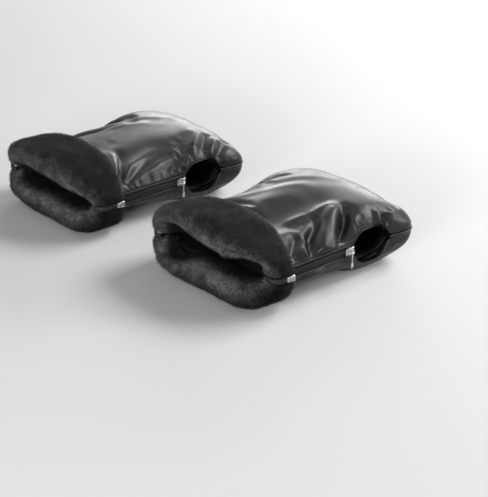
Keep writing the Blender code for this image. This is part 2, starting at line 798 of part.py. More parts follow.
def build_muff(muff, materials, slider, pull):
    """One whole muff. Its outer side is the one away from the other muff."""
    for half_name, half in (("upper", UPPER), ("lower", LOWER)):
        add_shell(muff, half_name, half, materials["leather"])
        add_wadding(muff, half_name, half, materials["wadding"])
        add_lining(muff, half_name, half, materials["fur"])
        add_cuff(muff, half_name, half, materials["fur"])
    add_end_welt(muff, materials["leather"])
    for side_name, side in muff.sides():
        add_side_band(muff, side_name, side, materials["leather"])
        for half_name, half in (("upper", UPPER), ("lower", LOWER)):
            add_zip_tape(muff, side_name, side, half_name, half, materials["tape"])
            add_zip_teeth(muff, side_name, side, half_name, half, materials["teeth"])
        add_cuff_chain(muff, side_name, side, materials["teeth"])
        add_zip_end(muff, side_name, side, materials["nickel"])
        add_zip_slider(muff, side_name, side, slider, pull)


def muff_frame(hand, location, collection):
    frame = bpy.data.objects.new(f"{hand}_muff", None)
    collection.objects.link(frame)
    frame.location = location
    return frame


def main():
    for leftover in list(bpy.data.objects):
        bpy.data.objects.remove(leftover)
    collection = bpy.data.collections.new("stroller_hand_muffs")
    cutters = bpy.data.collections.new("cutters")
    bpy.context.scene.collection.children.link(collection)
    bpy.context.scene.collection.children.link(cutters)
    materials = {
        "leather": make_material("black_leather", (0.018, 0.018, 0.019), 0.36),
        "fur": make_material("black_fur", (0.012, 0.012, 0.013), 0.95),
        "wadding": make_material("white_wadding", (0.80, 0.80, 0.78), 0.95),
        "tape": make_material("woven_tape", (0.015, 0.015, 0.015), 0.85),
        "teeth": make_material("zip_teeth", (0.05, 0.05, 0.055), 0.40),
        "nickel": make_material("nickel", (0.72, 0.71, 0.69), 0.25, 1.0),
    }
    slider = slider_mesh(materials["nickel"])
    pull = pull_mesh(materials["nickel"])
    right_place = (PAIR_STAGGER / 2, -PAIR_PITCH / 2, SEAM_HEIGHT)
    left_place = (-PAIR_STAGGER / 2, PAIR_PITCH / 2, SEAM_HEIGHT)
    right_frame = muff_frame("right", right_place, collection)
    left_frame = muff_frame("left", left_place, collection)
    right = Muff("right", right_frame, RIGHT_OUTER_RECEDE, RIGHT_INNER_RECEDE)
    left = Muff("left", left_frame, LEFT_OUTER_RECEDE, LEFT_INNER_RECEDE)
    for muff in (right, left):
        build_muff(muff, materials, slider, pull)


main()
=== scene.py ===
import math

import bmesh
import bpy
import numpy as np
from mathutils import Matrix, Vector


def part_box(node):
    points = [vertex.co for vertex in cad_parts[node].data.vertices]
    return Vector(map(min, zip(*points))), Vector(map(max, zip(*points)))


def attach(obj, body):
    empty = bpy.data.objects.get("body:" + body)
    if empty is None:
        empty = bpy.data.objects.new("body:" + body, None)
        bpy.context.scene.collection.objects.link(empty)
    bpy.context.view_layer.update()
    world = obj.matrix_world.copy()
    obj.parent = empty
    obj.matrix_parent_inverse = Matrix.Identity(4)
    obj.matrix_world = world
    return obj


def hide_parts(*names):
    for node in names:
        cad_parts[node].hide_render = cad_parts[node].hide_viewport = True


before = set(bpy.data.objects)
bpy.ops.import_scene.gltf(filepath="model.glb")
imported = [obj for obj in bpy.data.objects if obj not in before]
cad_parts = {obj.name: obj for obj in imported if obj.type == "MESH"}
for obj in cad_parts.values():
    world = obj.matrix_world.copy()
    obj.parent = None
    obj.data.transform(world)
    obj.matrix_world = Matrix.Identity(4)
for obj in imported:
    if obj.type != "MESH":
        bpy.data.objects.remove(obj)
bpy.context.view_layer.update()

# %% [markdown]
# # A pair of hand muffs in leather and fur
#
# The object is a pair of padded pouches. Each is a sheet of black imitation leather above and one
# below, padding and a fur lining inside, and the lining is turned back over the mouth as a cuff.
# A zip runs along each side, and behind it a round opening lets the muff sit on a handlebar.
#
# The imported solids are the fixed frame. They say where every piece is, but they are plain and have few
# faces. So each soft piece is made again here, finer and with its folds, and it takes the place of its
# solid. All the shapes come from one formula of the pouch, which keeps neighbours from touching.

# %% Millimetres and the scene

MM = 0.001
scene = bpy.context.scene

# %% [markdown]
# ## The pouch as a formula
#
# The real pouch is a flat bag pulled over a bar, so its section is a rounded box over the bar and a
# softer pillow near the mouth. It could be sculpted, but then the lining, the bands and the cuff would
# each have to be fitted by eye. A formula gives any layer at any depth: x runs from the mouth to the
# closed end, the angle runs round the section from the right-hand seam to the left-hand one, and lift
# is the height above the leather's outer face. Everything is in millimetres until a mesh is finished.

# %% Sizes, as in the solids

UPPER, LOWER = 1, -1
HALVES = {UPPER: "upper", LOWER: "lower"}
RIGHT_HAND_SIDE, LEFT_HAND_SIDE = -1, 1
MUFFS = {
    "right": {"centre": (10, -126, 36), "outer": RIGHT_HAND_SIDE},
    "left": {"centre": (-10, 126, 36), "outer": LEFT_HAND_SIDE},
}
# How far the mouth is drawn back at each side.
MUFFS["right"]["recede"] = {RIGHT_HAND_SIDE: 25, LEFT_HAND_SIDE: 4}
MUFFS["left"]["recede"] = {RIGHT_HAND_SIDE: 14, LEFT_HAND_SIDE: 8}
# How far the mouth's walls are pushed up, at places from the right-hand side to the left-hand one.
MUFFS["right"]["gape"] = {
    UPPER: ((-92, -78, -64, -52, -36, -8, 14, 34, 58, 80), (16, 18, 16, 10, 3, 3, 8, 14, 14, 8)),
    LOWER: ((-92, -66, -48, -12, 9, 30, 52, 70, 84), (-4, -1, 2, 5, 4, -6, -17, -16, -9)),
}
MUFFS["left"]["gape"] = {
    UPPER: ((-90, -70, -50, -10, 30, 60, 80), (2, 3, 1, 0, 3, 5, 4)),
    LOWER: ((-90, -70, -50, -10, 30, 60, 80), (-6, -5, -2, 0, -3, -5, -4)),
}
HALF_WIDTH, EAR_FLARE, CORNER_RADIUS, END_ROUNDING, EDGE_LIFT = 80, 4, 17, 52, 1.7
HEIGHT_AT_MOUTH, FULL_HEIGHT = {UPPER: 29, LOWER: 21}, {UPPER: 35.5, LOWER: 38}
SEAM_HEIGHT, STEEPEST_SEAM, MOUTH_FADE = 36, 0.96, 60
BOXINESS, BOXINESS_OVER_BAR, END_POWER, RECEDE_POWER = {UPPER: 0.8, LOWER: 0.66}, 0.5, 2.2, 6
END_X, TUNNEL_X, TUNNEL_HALF = 113.7, 51, 24
TUNNEL_START, TUNNEL_END = TUNNEL_X - TUNNEL_HALF, TUNNEL_X + TUNNEL_HALF
SHELL_FRONT_X, CUFF_EDGE_X = -99.75, -51
CUFF_CUTBACK = 0.37 * (CUFF_EDGE_X - SHELL_FRONT_X)
SHELL, LINING_DEPTH, WALL_DEPTH = 1.2, 7.0, 15.0
SHEET_INSET, BAND_HEIGHT, SEWN_GAP = 1.4, 2.2, 0.5
HEM_DEPTH, HEM_START, HEM_END, HEM_RISE, HEM_FALL = 5.2, TUNNEL_START + 1, TUNNEL_END + 2, 7, 6
TAPE_NEAR, TAPE_FAR = 2.8, 10.3
CUFF_CROWN, CUFF_SIDE, CUFF_LIP, CUFF_SPLIT = 15.5, 9, 14, 3.8
GAPE_START, GAPE_RUN, GAPE_CORNER = -64, 34, 0.3

# %% The section, the side opening and the seams


def eased(share):
    share = np.clip(share, 0, 1)
    return share * share * (3 - 2 * share)


def half_width(x, lift):
    corner = END_X - CORNER_RADIUS
    flare_start = TUNNEL_END - TUNNEL_HALF / 2
    flare = EAR_FLARE * eased((x - flare_start) / (corner - flare_start))
    past = np.maximum(x - corner, 0)
    rounded = np.sqrt(np.maximum((CORNER_RADIUS + lift) ** 2 - past**2, 0))
    return HALF_WIDTH + flare - CORNER_RADIUS + rounded


def half_height(x, lift, half):
    rise = (FULL_HEIGHT[half] - HEIGHT_AT_MOUTH[half]) * eased((x - CUFF_EDGE_X) / (TUNNEL_X - CUFF_EDGE_X))
    height = HEIGHT_AT_MOUTH[half] + rise
    left = np.clip((END_X + lift - x) / (END_ROUNDING + lift), 0, 1)
    return EDGE_LIFT + (height + lift - EDGE_LIFT) * (1 - (1 - left) ** END_POWER) ** (1 / END_POWER)


def boxiness(x, half):
    near = eased(1 - np.abs(x - TUNNEL_X) / (2 * TUNNEL_HALF))
    return BOXINESS[half] + (BOXINESS_OVER_BAR - BOXINESS[half]) * near


def body(muff, x, angle, lift, half):
    """Points of the pouch in the muff's own frame, in millimetres."""
    x, angle, lift = np.broadcast_arrays(*(np.asarray(v, float) for v in (x, angle, lift)))
    power, cosine = boxiness(x, half), np.cos(angle)
    across = -np.sign(cosine) * np.abs(cosine) ** power
    upward = np.maximum(np.sin(angle), 0) ** power
    recede = np.where(cosine > 0, muff["recede"][RIGHT_HAND_SIDE], muff["recede"][LEFT_HAND_SIDE])
    receded = recede * np.abs(cosine) ** RECEDE_POWER * eased((CUFF_EDGE_X - x) / MOUTH_FADE)
    z = EDGE_LIFT + (half_height(x, lift, half) - EDGE_LIFT) * upward
    if half == LOWER:
        z = np.minimum(z, SEAM_HEIGHT + np.minimum(lift, 0))
    y = half_width(x, lift) * across
    depth = np.clip((CUFF_CROWN - lift) / (CUFF_CROWN + WALL_DEPTH), 0, 1)
    fade = eased((GAPE_START - x) / GAPE_RUN) * eased(np.sin(angle) / GAPE_CORNER)
    pushed = np.interp(y, *muff["gape"][half]) * depth * fade
    return np.stack([x + receded, y, half * z + pushed], axis=-1)


def seam_angle(x, lift, half, height):
    """The angle at which the section stands at a height over the seam's plane."""
    share = (height - EDGE_LIFT) / np.maximum(half_height(x, lift, half) - EDGE_LIFT, 1e-6)
    return np.arcsin(np.clip(share, 0, STEEPEST_SEAM) ** (1 / boxiness(x, half)))


# The side opening's rim: places along the pouch, and its height above and below the seam there.
RIM_PLACES = (16, 22, 27, 32, 38, 46, 54, 61, 66, 70, 73, 76)
RIM_HEIGHTS = {
    UPPER: (4.9, 5.6, 8.2, 13, 15.9, 16.6, 17.2, 17.4, 16.2, 11.5, 6, 1.7),
    LOWER: (4.9, 5.4, 8.5, 15.5, 19.8, 22, 22.5, 21.6, 18.6, 13, 7, 1.7),
}


def opening_edge(x, half):
    return np.interp(x, RIM_PLACES, RIM_HEIGHTS[half])


def band_height(x):
    return BAND_HEIGHT * (1 - eased((x - TUNNEL_START) / (2 * TUNNEL_HALF)))


def hem_depth(x):
    """How far the rim is turned in round the side opening, where no zip tape is in the way."""
    return HEM_DEPTH * eased(np.minimum((x - HEM_START) / HEM_RISE, (HEM_END - x) / HEM_FALL))


def shell_edge(x, half):
    edge = opening_edge(x, half)
    return edge + (band_height(x) + SEWN_GAP) * (x < TUNNEL_END) if half == UPPER else edge


def lengths_along(line):
    return np.concatenate([[0], np.cumsum(np.linalg.norm(np.diff(line, axis=0), axis=1))])


def points_at(line, along, places):
    """What a line's columns say at places along it. Places past its ends count as its ends."""
    return np.stack([np.interp(places, along, column) for column in line.T], axis=1)


def to_row(muff, points):
    """From a muff's frame in millimetres to the row's frame in metres."""
    return (np.asarray(points, float) + muff["centre"]) * MM


for hand, muff in MUFFS.items():
    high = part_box(f"{hand}_upper_shell")[1]
    crown = body(muff, 0, math.pi / 2, 0, UPPER)
    print(hand, "crown", to_row(muff, crown).round(4), "solid's top", round(high.z, 4))

# %% [markdown]
# ## Pieces
#
# Every soft piece starts as a grid from bmesh, whose corners are then laid on the formula. A sheet that
# is drawn as a grid has even squares, which bend, crease and subdivide well. Its thickness comes from
# Solidify, and one level of subdivision smooths it. The helpers below do the same for all of them.

# %% Helpers that finish a piece

FLOOR_GAP = 0.2


def mesh_points(mesh):
    points = np.empty(len(mesh.vertices) * 3)
    mesh.vertices.foreach_get("co", points)
    return points.reshape(-1, 3)


def set_points(mesh, points):
    mesh.vertices.foreach_set("co", np.asarray(points, np.float32).ravel())
    mesh.update()


def rest_on_floor(mesh):
    """Presses a soft piece flat where it lies on the floor."""
    points = mesh_points(mesh)
    points[:, 2] = np.maximum(points[:, 2], FLOOR_GAP * MM)
    set_points(mesh, points)


def add_object(name, mesh):
    piece = bpy.data.objects.new(name, mesh)
    scene.collection.objects.link(piece)
    return piece


def apply_modifiers(piece):
    graph = bpy.context.evaluated_depsgraph_get()
    made = bpy.data.meshes.new_from_object(piece.evaluated_get(graph), depsgraph=graph)
    piece.modifiers.clear()
    piece.data = made


def grid_sheet(name, columns, rows):
    """A flat grid. Returns its object, and each vertex's share along (u) and across (v)."""
    sheet = bmesh.new()
    bmesh.ops.create_grid(sheet, x_segments=columns, y_segments=rows, size=1)
    mesh = bpy.data.meshes.new(name)
    sheet.to_mesh(mesh)
    sheet.free()
    flat = mesh_points(mesh)
    uv = (flat[:, :2] + 1) / 2
    return add_object(name, mesh), uv[:, 0], uv[:, 1]


def outward(points, columns, rows):
    """Normals of a grid of points, from its neighbours' differences, that look away from the middle."""
    grid = points.reshape(rows + 1, columns + 1, 3)
    normal = np.cross(np.gradient(grid, axis=1), np.gradient(grid, axis=0))
    length = np.linalg.norm(normal, axis=2, keepdims=True)
    normal = (normal / np.maximum(length, 1e-9)).reshape(-1, 3)
    return normal * np.sign((normal * points).sum(1).mean())


def smooth(piece):
    finer = piece.modifiers.new("smooth", "SUBSURF")
    finer.levels = finer.render_levels = 1
    piece.data.shade_smooth()
    return piece


def thicken(piece, thickness, even=True):
    wall = piece.modifiers.new("thickness", "SOLIDIFY")
    wall.thickness = thickness * MM
    wall.offset = -1
    wall.use_even_offset = even
    wall.use_rim = True
    return piece


def face_out(piece):
    """Makes all faces of a mesh look the same way, outward."""
    builder = bmesh.new()
    builder.from_mesh(piece.data)
    bmesh.ops.recalc_face_normals(builder, faces=builder.faces)
    builder.to_mesh(piece.data)
    builder.free()


def settle(piece, slot, material, node, body_name="muffs"):
    """The last steps of each piece: its material, the solid that it stands for and its body. slot is not
    used.
    """
    piece.data.materials.clear()
    piece.data.materials.append(material)
    if node:
        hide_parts(node)
    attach(piece, body_name)
    return piece


# %% [markdown]
# ## Camera, floor and light
#
# The photograph was taken from the mouths' side, a little above, with a long lens. The floor is a plain
# pale sheet. The leather's gloss shows the shapes of the lights, so four softboxes stand where the
# bright streaks on its crown and sides ask for them: behind, at the side, in front and at the right.

# %% Camera

AZIMUTH, ELEVATION = math.radians(-40.1), math.radians(25.6)
DISTANCE, FOCAL_PIXELS, LONG_SIDE = 1.527, 1500, 497
TARGET = Vector((-0.0493, -0.1323, 0.036))

level = math.cos(ELEVATION)
back = Vector((math.sin(AZIMUTH) * level, -math.cos(AZIMUTH) * level, math.sin(ELEVATION)))
right = Vector((math.cos(AZIMUTH), math.sin(AZIMUTH), 0))
turn = Matrix((right, back.cross(right), back)).transposed()
camera = bpy.data.objects.new("camera", bpy.data.cameras.new("camera"))
scene.collection.objects.link(camera)
camera.matrix_world = Matrix.Translation(TARGET + back * DISTANCE) @ turn.to_4x4()
camera.data.sensor_width = 36
camera.data.lens = FOCAL_PIXELS / LONG_SIDE * camera.data.sensor_width
camera.data.clip_start = 0.01
scene.camera = camera
print("lens", round(camera.data.lens, 1), "mm")

# %% A small kit for nodes and materials


def join(tree, source, sink):
    """Links output to input. Each is (node, socket name or number)."""
    tree.links.new(source[0].outputs[source[1]], sink[0].inputs[sink[1]])


def add_node(tree, kind, **settings):
    """A node. A setting is a property of it, or an input's value or the output that the input takes."""
    node = tree.nodes.new(kind)
    for key, value in settings.items():
        label = key.replace("_", " ")
        if key in node.bl_rna.properties:
            setattr(node, key, value)
        elif isinstance(value, tuple) and isinstance(value[0], bpy.types.Node):
            join(tree, value, (node, label))
        else:
            node.inputs[label].default_value = value
    return node


def math_node(tree, operation, first, second=None):
    """A math node on sockets or plain numbers, and its output."""
    node = add_node(tree, "ShaderNodeMath", operation=operation)
    for place, value in enumerate((first, second)):
        if isinstance(value, tuple):
            join(tree, value, (node, place))
        elif value is not None:
            node.inputs[place].default_value = value
    return node, 0


def object_texture(tree, kind, **settings):
    """A texture that reads Object coordinates."""
    return add_node(tree, kind, Vector=(add_node(tree, "ShaderNodeTexCoord"), "Object"), **settings)


def plain_material(name, colour, roughness, **more):
    """A Principled material. more names other inputs of its shader, with _ for a space."""
    material = bpy.data.materials.new(name)
    material.use_nodes = True
    inputs = material.node_tree.nodes["Principled BSDF"].inputs
    inputs["Base Color"].default_value = (*colour, 1)
    inputs["Roughness"].default_value = roughness
    for label, value in more.items():
        inputs[label.replace("_", " ")].default_value = value
    return material


# %% World, floor and softboxes

scene.view_settings.view_transform = "Standard"
AMBIENT, FLOOR_REACH = 0.15, 4

scene.world = bpy.data.worlds.new("studio")
scene.world.use_nodes = True
sky = scene.world.node_tree
ray = add_node(sky, "ShaderNodeLightPath")
seen = math_node(sky, "MAXIMUM", (ray, "Is Camera Ray"), (ray, "Is Glossy Ray"))
seen = math_node(sky, "MAXIMUM", seen, (ray, "Is Transmission Ray"))
strength = add_node(sky, "ShaderNodeMapRange", Value=seen, To_Min=AMBIENT, To_Max=1.0)
join(sky, (strength, "Result"), (sky.nodes["Background"], "Strength"))
sky.nodes["Background"].inputs["Color"].default_value = (1, 1, 1, 1)

floor, _, _ = grid_sheet("floor", 2, 2)
set_points(floor.data, mesh_points(floor.data) * FLOOR_REACH)
floor.data.materials.append(plain_material("pale_floor", (0.86, 0.86, 0.86), 0.9))


def softbox(name, place, aim, size, power):
    """A flat lamp that faces a point. Its sizes are in metres and its power in watts."""
    lamp = bpy.data.lights.new(name, "AREA")
    lamp.shape = "RECTANGLE"
    lamp.size, lamp.size_y = size
    lamp.energy = power
    holder = bpy.data.objects.new(name, lamp)
    scene.collection.objects.link(holder)
    holder.location = place
    holder.rotation_euler = (Vector(aim) - Vector(place)).to_track_quat("-Z", "Y").to_euler()


softbox("back", (1.60, 1.40, 0.55), (0, 0, 0.05), (1.4, 0.6), 18)
softbox("side", (1.38, -0.42, 1.36), (0, -0.1, 0.05), (1.2, 0.75), 27.5)
softbox("front", (-1.80, -0.90, 0.42), (0, -0.05, 0.03), (1.0, 0.5), 32)
softbox("right", (1.20, -1.10, 0.50), (0.05, -0.12, 0.04), (0.36, 0.5), 7)

# %% [markdown]
# ## Finishes that several materials share
#
# Real leather is never one colour: it has a fine grain, low creases, and rubbed edges where it is
# duller. The same grain serves the shells, the bands and the piping, so it is a node group with named
# inputs. It reads Object coordinates, which are metres, so its sizes hold on every piece.

# %% The leather's grain, as a group


def node_group(name, inputs, outputs):
    group = bpy.data.node_groups.new(name, "ShaderNodeTree")
    for label, value in inputs:
        socket = group.interface.new_socket(name=label, in_out="INPUT", socket_type="NodeSocketFloat")
        socket.default_value = value
    for label, kind in outputs:
        group.interface.new_socket(name=label, in_out="OUTPUT", socket_type=kind)
    group.nodes.new("NodeGroupInput")
    group.nodes.new("NodeGroupOutput")
    return group


grain = node_group(
    "leather_grain",
    [("Grain Size", 900), ("Crease Size", 60), ("Crease Share", 0.5)],
    [("Height", "NodeSocketFloat"), ("Wear", "NodeSocketFloat")],
)
outer, inner = grain.nodes["Group Output"], grain.nodes["Group Input"]
fine, coarse = (inner, "Grain Size"), (inner, "Crease Size")
cells = object_texture(grain, "ShaderNodeTexVoronoi", feature="SMOOTH_F1", Smoothness=0.6, Scale=fine)
pores = object_texture(grain, "ShaderNodeTexNoise", Detail=3, Roughness=0.6, Scale=fine)
creases = object_texture(grain, "ShaderNodeTexNoise", Detail=4, Roughness=0.55, Distortion=0.6, Scale=coarse)
small = math_node(grain, "MULTIPLY", (cells, "Distance"), (pores, 0))
large = math_node(grain, "MULTIPLY", (creases, 0), (inner, "Crease Share"))
join(grain, math_node(grain, "ADD", small, large), (outer, "Height"))
join(grain, (creases, 0), (outer, "Wear"))
print("group", grain.name, "outputs", [s.name for s in grain.interface.items_tree if s.in_out == "OUTPUT"])

# %% Leather, fur, tape, teeth, thread and nickel


def set_roughness(tree, source, low, high, **span):
    """Roughness between low and high, as a texture says over its span."""
    rough = add_node(tree, "ShaderNodeMapRange", Value=source, To_Min=low, To_Max=high, **span)
    join(tree, (rough, "Result"), (tree.nodes["Principled BSDF"], "Roughness"))


def set_relief(tree, source, strength, depth):
    """Relief of a depth in millimetres, from a texture."""
    relief = add_node(tree, "ShaderNodeBump", Height=source, Strength=strength, Distance=depth * MM)
    join(tree, (relief, "Normal"), (tree.nodes["Principled BSDF"], "Normal"))


def leather_material(name, colour, low, high, bump):
    material = plain_material(name, colour, low, Specular_IOR_Level=0.32)
    tree = material.node_tree
    group = add_node(tree, "ShaderNodeGroup", node_tree=grain)
    set_roughness(tree, (group, "Wear"), low, high, From_Min=0.3, From_Max=0.7)
    set_relief(tree, (group, "Height"), bump, 0.4)
    return material


LEATHER = leather_material("smooth_black_leather", (0.006, 0.006, 0.0065), 0.31, 0.42, 0.18)
TRIM = leather_material("folded_leather_trim", (0.005, 0.005, 0.0055), 0.32, 0.44, 0.3)


def fur_material(name, root, tip, sheen):
    """Fur: each blade's random tone, brushed clumps, painted light and shade on the roll, and a soft sheen
    at the edges.
    """
    material = plain_material(
        name, root, 0.55, Specular_IOR_Level=0.12,
        Sheen_Weight=sheen, Sheen_Roughness=0.4, Sheen_Tint=(0.75, 0.72, 0.73, 1),
    )
    tree = material.node_tree
    clumps = object_texture(tree, "ShaderNodeTexNoise", Scale=70, Detail=5, Roughness=0.65)
    mixed = math_node(tree, "POWER", (clumps, 0), 1.6)
    # Each blade's random tone, then painted light and shade: the roll lighter at its front, darker on top
    # and inside.
    for label in ("shade", "standing"):
        mark = add_node(tree, "ShaderNodeAttribute", attribute_name=label)
        mixed = math_node(tree, "MULTIPLY", mixed, (mark, "Fac"))
    ramp = add_node(tree, "ShaderNodeValToRGB", Fac=mixed)
    for element, place, colour in zip(ramp.color_ramp.elements, (0.02, 0.42), (root, tip)):
        element.position, element.color = place, (*colour, 1)
    join(tree, (ramp, 0), (tree.nodes["Principled BSDF"], "Base Color"))
    return material


FUR = fur_material("short_black_fur", (0.002, 0.002, 0.002), (0.24, 0.232, 0.236), 0.03)
# The pocket is the cuff's fur with far darker tips: painted shade inside the pocket and the mouth.
SHADED_LINING_FUR = fur_material("lining_fur_painted_shade", (0.002, 0.002, 0.002), (0.030, 0.028, 0.029), 0.02)


def woven_material(name, colour, threads):
    material = plain_material(name, colour, 0.8)
    tree = material.node_tree
    over, under = (
        object_texture(tree, "ShaderNodeTexWave", Scale=threads, bands_direction=way) for way in ("X", "Z")
    )
    set_relief(tree, math_node(tree, "MULTIPLY", (over, 1), (under, 1)), 0.6, 0.3)
    return material


TAPE = woven_material("woven_tape", (0.014, 0.014, 0.015), 260)
WADDING = woven_material("bonded_wadding", (0.62, 0.61, 0.58), 120)
THREAD = woven_material("sewing_thread", (0.02, 0.02, 0.021), 900)


def metal_material(name, colour, low, high):
    material = plain_material(name, colour, low, Metallic=1)
    tree = material.node_tree
    marks = object_texture(tree, "ShaderNodeTexNoise", Scale=700, Detail=4)
    set_roughness(tree, (marks, 0), low, high)
    return material


NICKEL = metal_material("nickel_plate", (0.50, 0.49, 0.48), 0.16, 0.34)
TEETH = metal_material("gunmetal_teeth", (0.05, 0.05, 0.053), 0.28, 0.45)

# %% [markdown]
# ## The leather shells
#
# Each shell is one sheet of soft imitation leather. It is tight over the bar and slack in front of it,
# so it falls into a few large folds: they start at the zip, where the seam gathers the leather, and die
# out on the crown. Folds could be left to a cloth simulation alone, but then they would come where
# chance puts them. Here the large folds are laid along listed lines, each a low ridge or a valley that
# fades at both ends, and the simulation adds the small slack between them.

# %% Folds of each shell

# A fold is (heights in mm and half widths in mm at both ends, how square its crest is, points that it
# runs through in the muff's frame).
NEAR_SIDE_FOLDS = [
    ((-3, -3), (17, 15), 2, [(-30, -61, 23), (-4, -59, 25), (18, -65, 25)]),
    (
        (1.5, 9), (5.5, 12), 4, [
            (41, -32, 35), (30, -42, 34), (17, -51, 30), (6, -61, 26),
            (-4, -69, 20), (-11, -76, 14), (-14, -81, 8),
        ],
    ),
    ((-6.5, -8), (5.5, 4.5), 2, [(39, -49, 34), (32, -58, 31), (22, -69, 24), (14, -76, 17), (9, -78, 12)]),
    ((2, 3), (4, 3), 2, [(42, -67, 30), (31, -71, 26), (20, -75, 18), (7, -79, 9)]),
    ((-6, -8), (6.5, 6), 2, [(7, -44, 30), (-4, -52, 27), (-16, -60, 24), (-26, -69, 19), (-32, -75, 14)]),
    ((2, 6), (4, 6), 3, [(-22, -62, 23), (-32, -71, 18), (-41, -77, 12)]),
    ((1.5, 1.5), (3, 3), 2, [(-36, -80, 7), (-28, -78, 10), (-18, -76, 14)]),
    ((-4, -5), (5, 5), 2, [(-30, -52, 25), (-44, -65, 21), (-54, -74, 15)]),
    ((1, 2.4), (4, 4), 2, [(-34, -26, 29), (-14, -29, 30), (5, -35, 31), (20, -34, 33), (31, -34, 34)]),
    ((-2, -3), (9, 8), 2, [(-34, -42, 27), (-12, -43, 28), (8, -40, 31)]),
    ((3, 5.5), (4, 4), 3, [(65, -68, 28), (60, -76, 23), (57, -79, 15)]),
    ((-3, -7), (4, 4), 2, [(76, -72, 24), (70, -78, 19), (67, -80, 12)]),
    ((2, 2), (14, 14), 2, [(86, -70, 22), (104, -66, 16)]),
]
FAR_SIDE_FOLDS = [
    ((-2, -2), (14, 14), 2, [(-25, -40, 28), (5, -42, 30), (28, -52, 32)]),
    ((1.5, 4), (4, 3.5), 2, [(-31, -18, 29), (-40, -36, 28), (-51, -54, 24), (-58, -65, 21)]),
    ((-3, -5), (6, 4.5), 2, [(-22, -18, 30), (-34, -39, 28), (-46, -56, 24), (-56, -69, 19)]),
    ((1, 3.5), (10, 5), 2, [(22, -41, 33), (-4, -46, 29), (-31, -56, 24), (-52, -70, 18)]),
    ((-1, -3.5), (9, 4.5), 2, [(24, -57, 30), (-3, -59, 25), (-31, -66, 21), (-51, -74, 16)]),
    ((1, 2.5), (7, 4), 2, [(25, -68, 26), (-2, -69, 21), (-26, -72, 18), (-47, -76, 14)]),
    ((2, 4.5), (8, 7), 2, [(79, -34, 33), (61, -52, 34), (47, -66, 30)]),
    ((-2, -4.5), (6, 6), 2, [(81, -46, 32), (67, -61, 31), (55, -73, 27)]),
    ((2, 3.5), (7, 6), 2, [(86, -56, 28), (72, -70, 26), (62, -78, 19)]),
    ((-2, -3.5), (6, 6), 2, [(90, -65, 24), (79, -75, 21), (71, -79, 15)]),
]


def copied(folds, shift, turn, higher, wider=1):
    """The same folds moved along the muff, turned over across or in height, and made higher or wider."""
    return [
        (
            tuple(height * higher for height in heights), tuple(width * wider for width in widths), crest,
            [(x + shift, y * turn[0], z * turn[1]) for x, y, z in line],
        )
        for heights, widths, crest, line in folds
    ]


def across(folds, shift, higher=1):
    """The same folds on the muff's other side."""
    return copied(folds, shift, (-1, 1), higher)


def below(folds):
    """The same folds on the lower sheet, where they are softer."""
    return copied(folds, 0, (1, -1), 0.6, 1.3)


CROWN_FOLDS = [
    ((0.5, 0.5), (5, 5), 2, [(-36, 52, 28), (0, 40, 32), (36, 20, 35), (62, -8, 36)]),
    ((-0.5, -0.5), (5, 5), 2, [(-26, 56, 28), (10, 46, 32), (46, 24, 35), (74, -6, 35)]),
    ((0.4, 0.4), (5, 5), 2, [(-10, 60, 28), (26, 50, 32), (58, 28, 35), (82, 0, 33)]),
    ((-5, -4), (26, 22), 2, [(-48, -14, 28), (-20, -16, 30), (6, -20, 33), (22, -22, 34)]),
]
LOW_FOLDS = [((3, 3), (4, 5), 2, [(-12, -79, -7), (-28, -79, -8.5), (-42, -78, -12), (-52, -74, -18)])]
FOLDS = {
    ("right", UPPER): NEAR_SIDE_FOLDS + across(FAR_SIDE_FOLDS[:5], 2, 0.5) + CROWN_FOLDS,
    ("left", UPPER): FAR_SIDE_FOLDS + across(NEAR_SIDE_FOLDS[:9], -4, 0.5) + CROWN_FOLDS[:3],
    ("right", LOWER): LOW_FOLDS + below(NEAR_SIDE_FOLDS[7:8]) + below(across(FAR_SIDE_FOLDS[:3], 4)),
    ("left", LOWER): below(FAR_SIDE_FOLDS[:3]) + below(across(NEAR_SIDE_FOLDS[4:7], -6)),
}
print("folds a shell", {f"{hand} {half}": len(folds) for (hand, half), folds in FOLDS.items()})

BROAD_FOLD, FADE_IN, FADE_OUT = 12, 0.3, 0.15


def fold_height(points, folds):
    """How far the folds lift each point, from its distance to each fold's line. Broad ones don't fade."""
    lifted = np.zeros(len(points))
    for heights, widths, crest, line in folds:
        line = np.asarray(line, float)
        along = lengths_along(line)
        along = along / along[-1]
        nearest, share = np.full(len(points), 1e9), np.zeros(len(points))
        for start, end, first, last in zip(line[:-1], line[1:], along[:-1], along[1:]):
            run = end - start
            t = np.clip((points - start) @ run / (run @ run), 0, 1)
            away = np.linalg.norm(points - start - t[:, None] * run, axis=1)
            closer = away < nearest
            nearest = np.where(closer, away, nearest)
            share = np.where(closer, first + (last - first) * t, share)
        fade = eased(share / FADE_IN + 0.1) * eased((1 - share) / FADE_OUT + 0.5)
        width = widths[0] + (widths[1] - widths[0]) * share
        height = heights[0] + (heights[1] - heights[0]) * share
        lifted += height * np.exp(-((nearest / width) ** crest)) * (fade if min(widths) < BROAD_FOLD else 1)
    return lifted


# %% The slack that simulation adds

CLOTH_FRAMES, SLACK_LIMIT = 20, 1.7
CLOTH = {
    "quality": 6, "mass": 0.25, "tension_stiffness": 25, "compression_stiffness": 25, "shear_stiffness": 12,
    "bending_stiffness": 2.0, "vertex_group_mass": "sewn", "shrink_min": -0.014, "use_pressure": True,
    "uniform_pressure_force": 0.4,
}


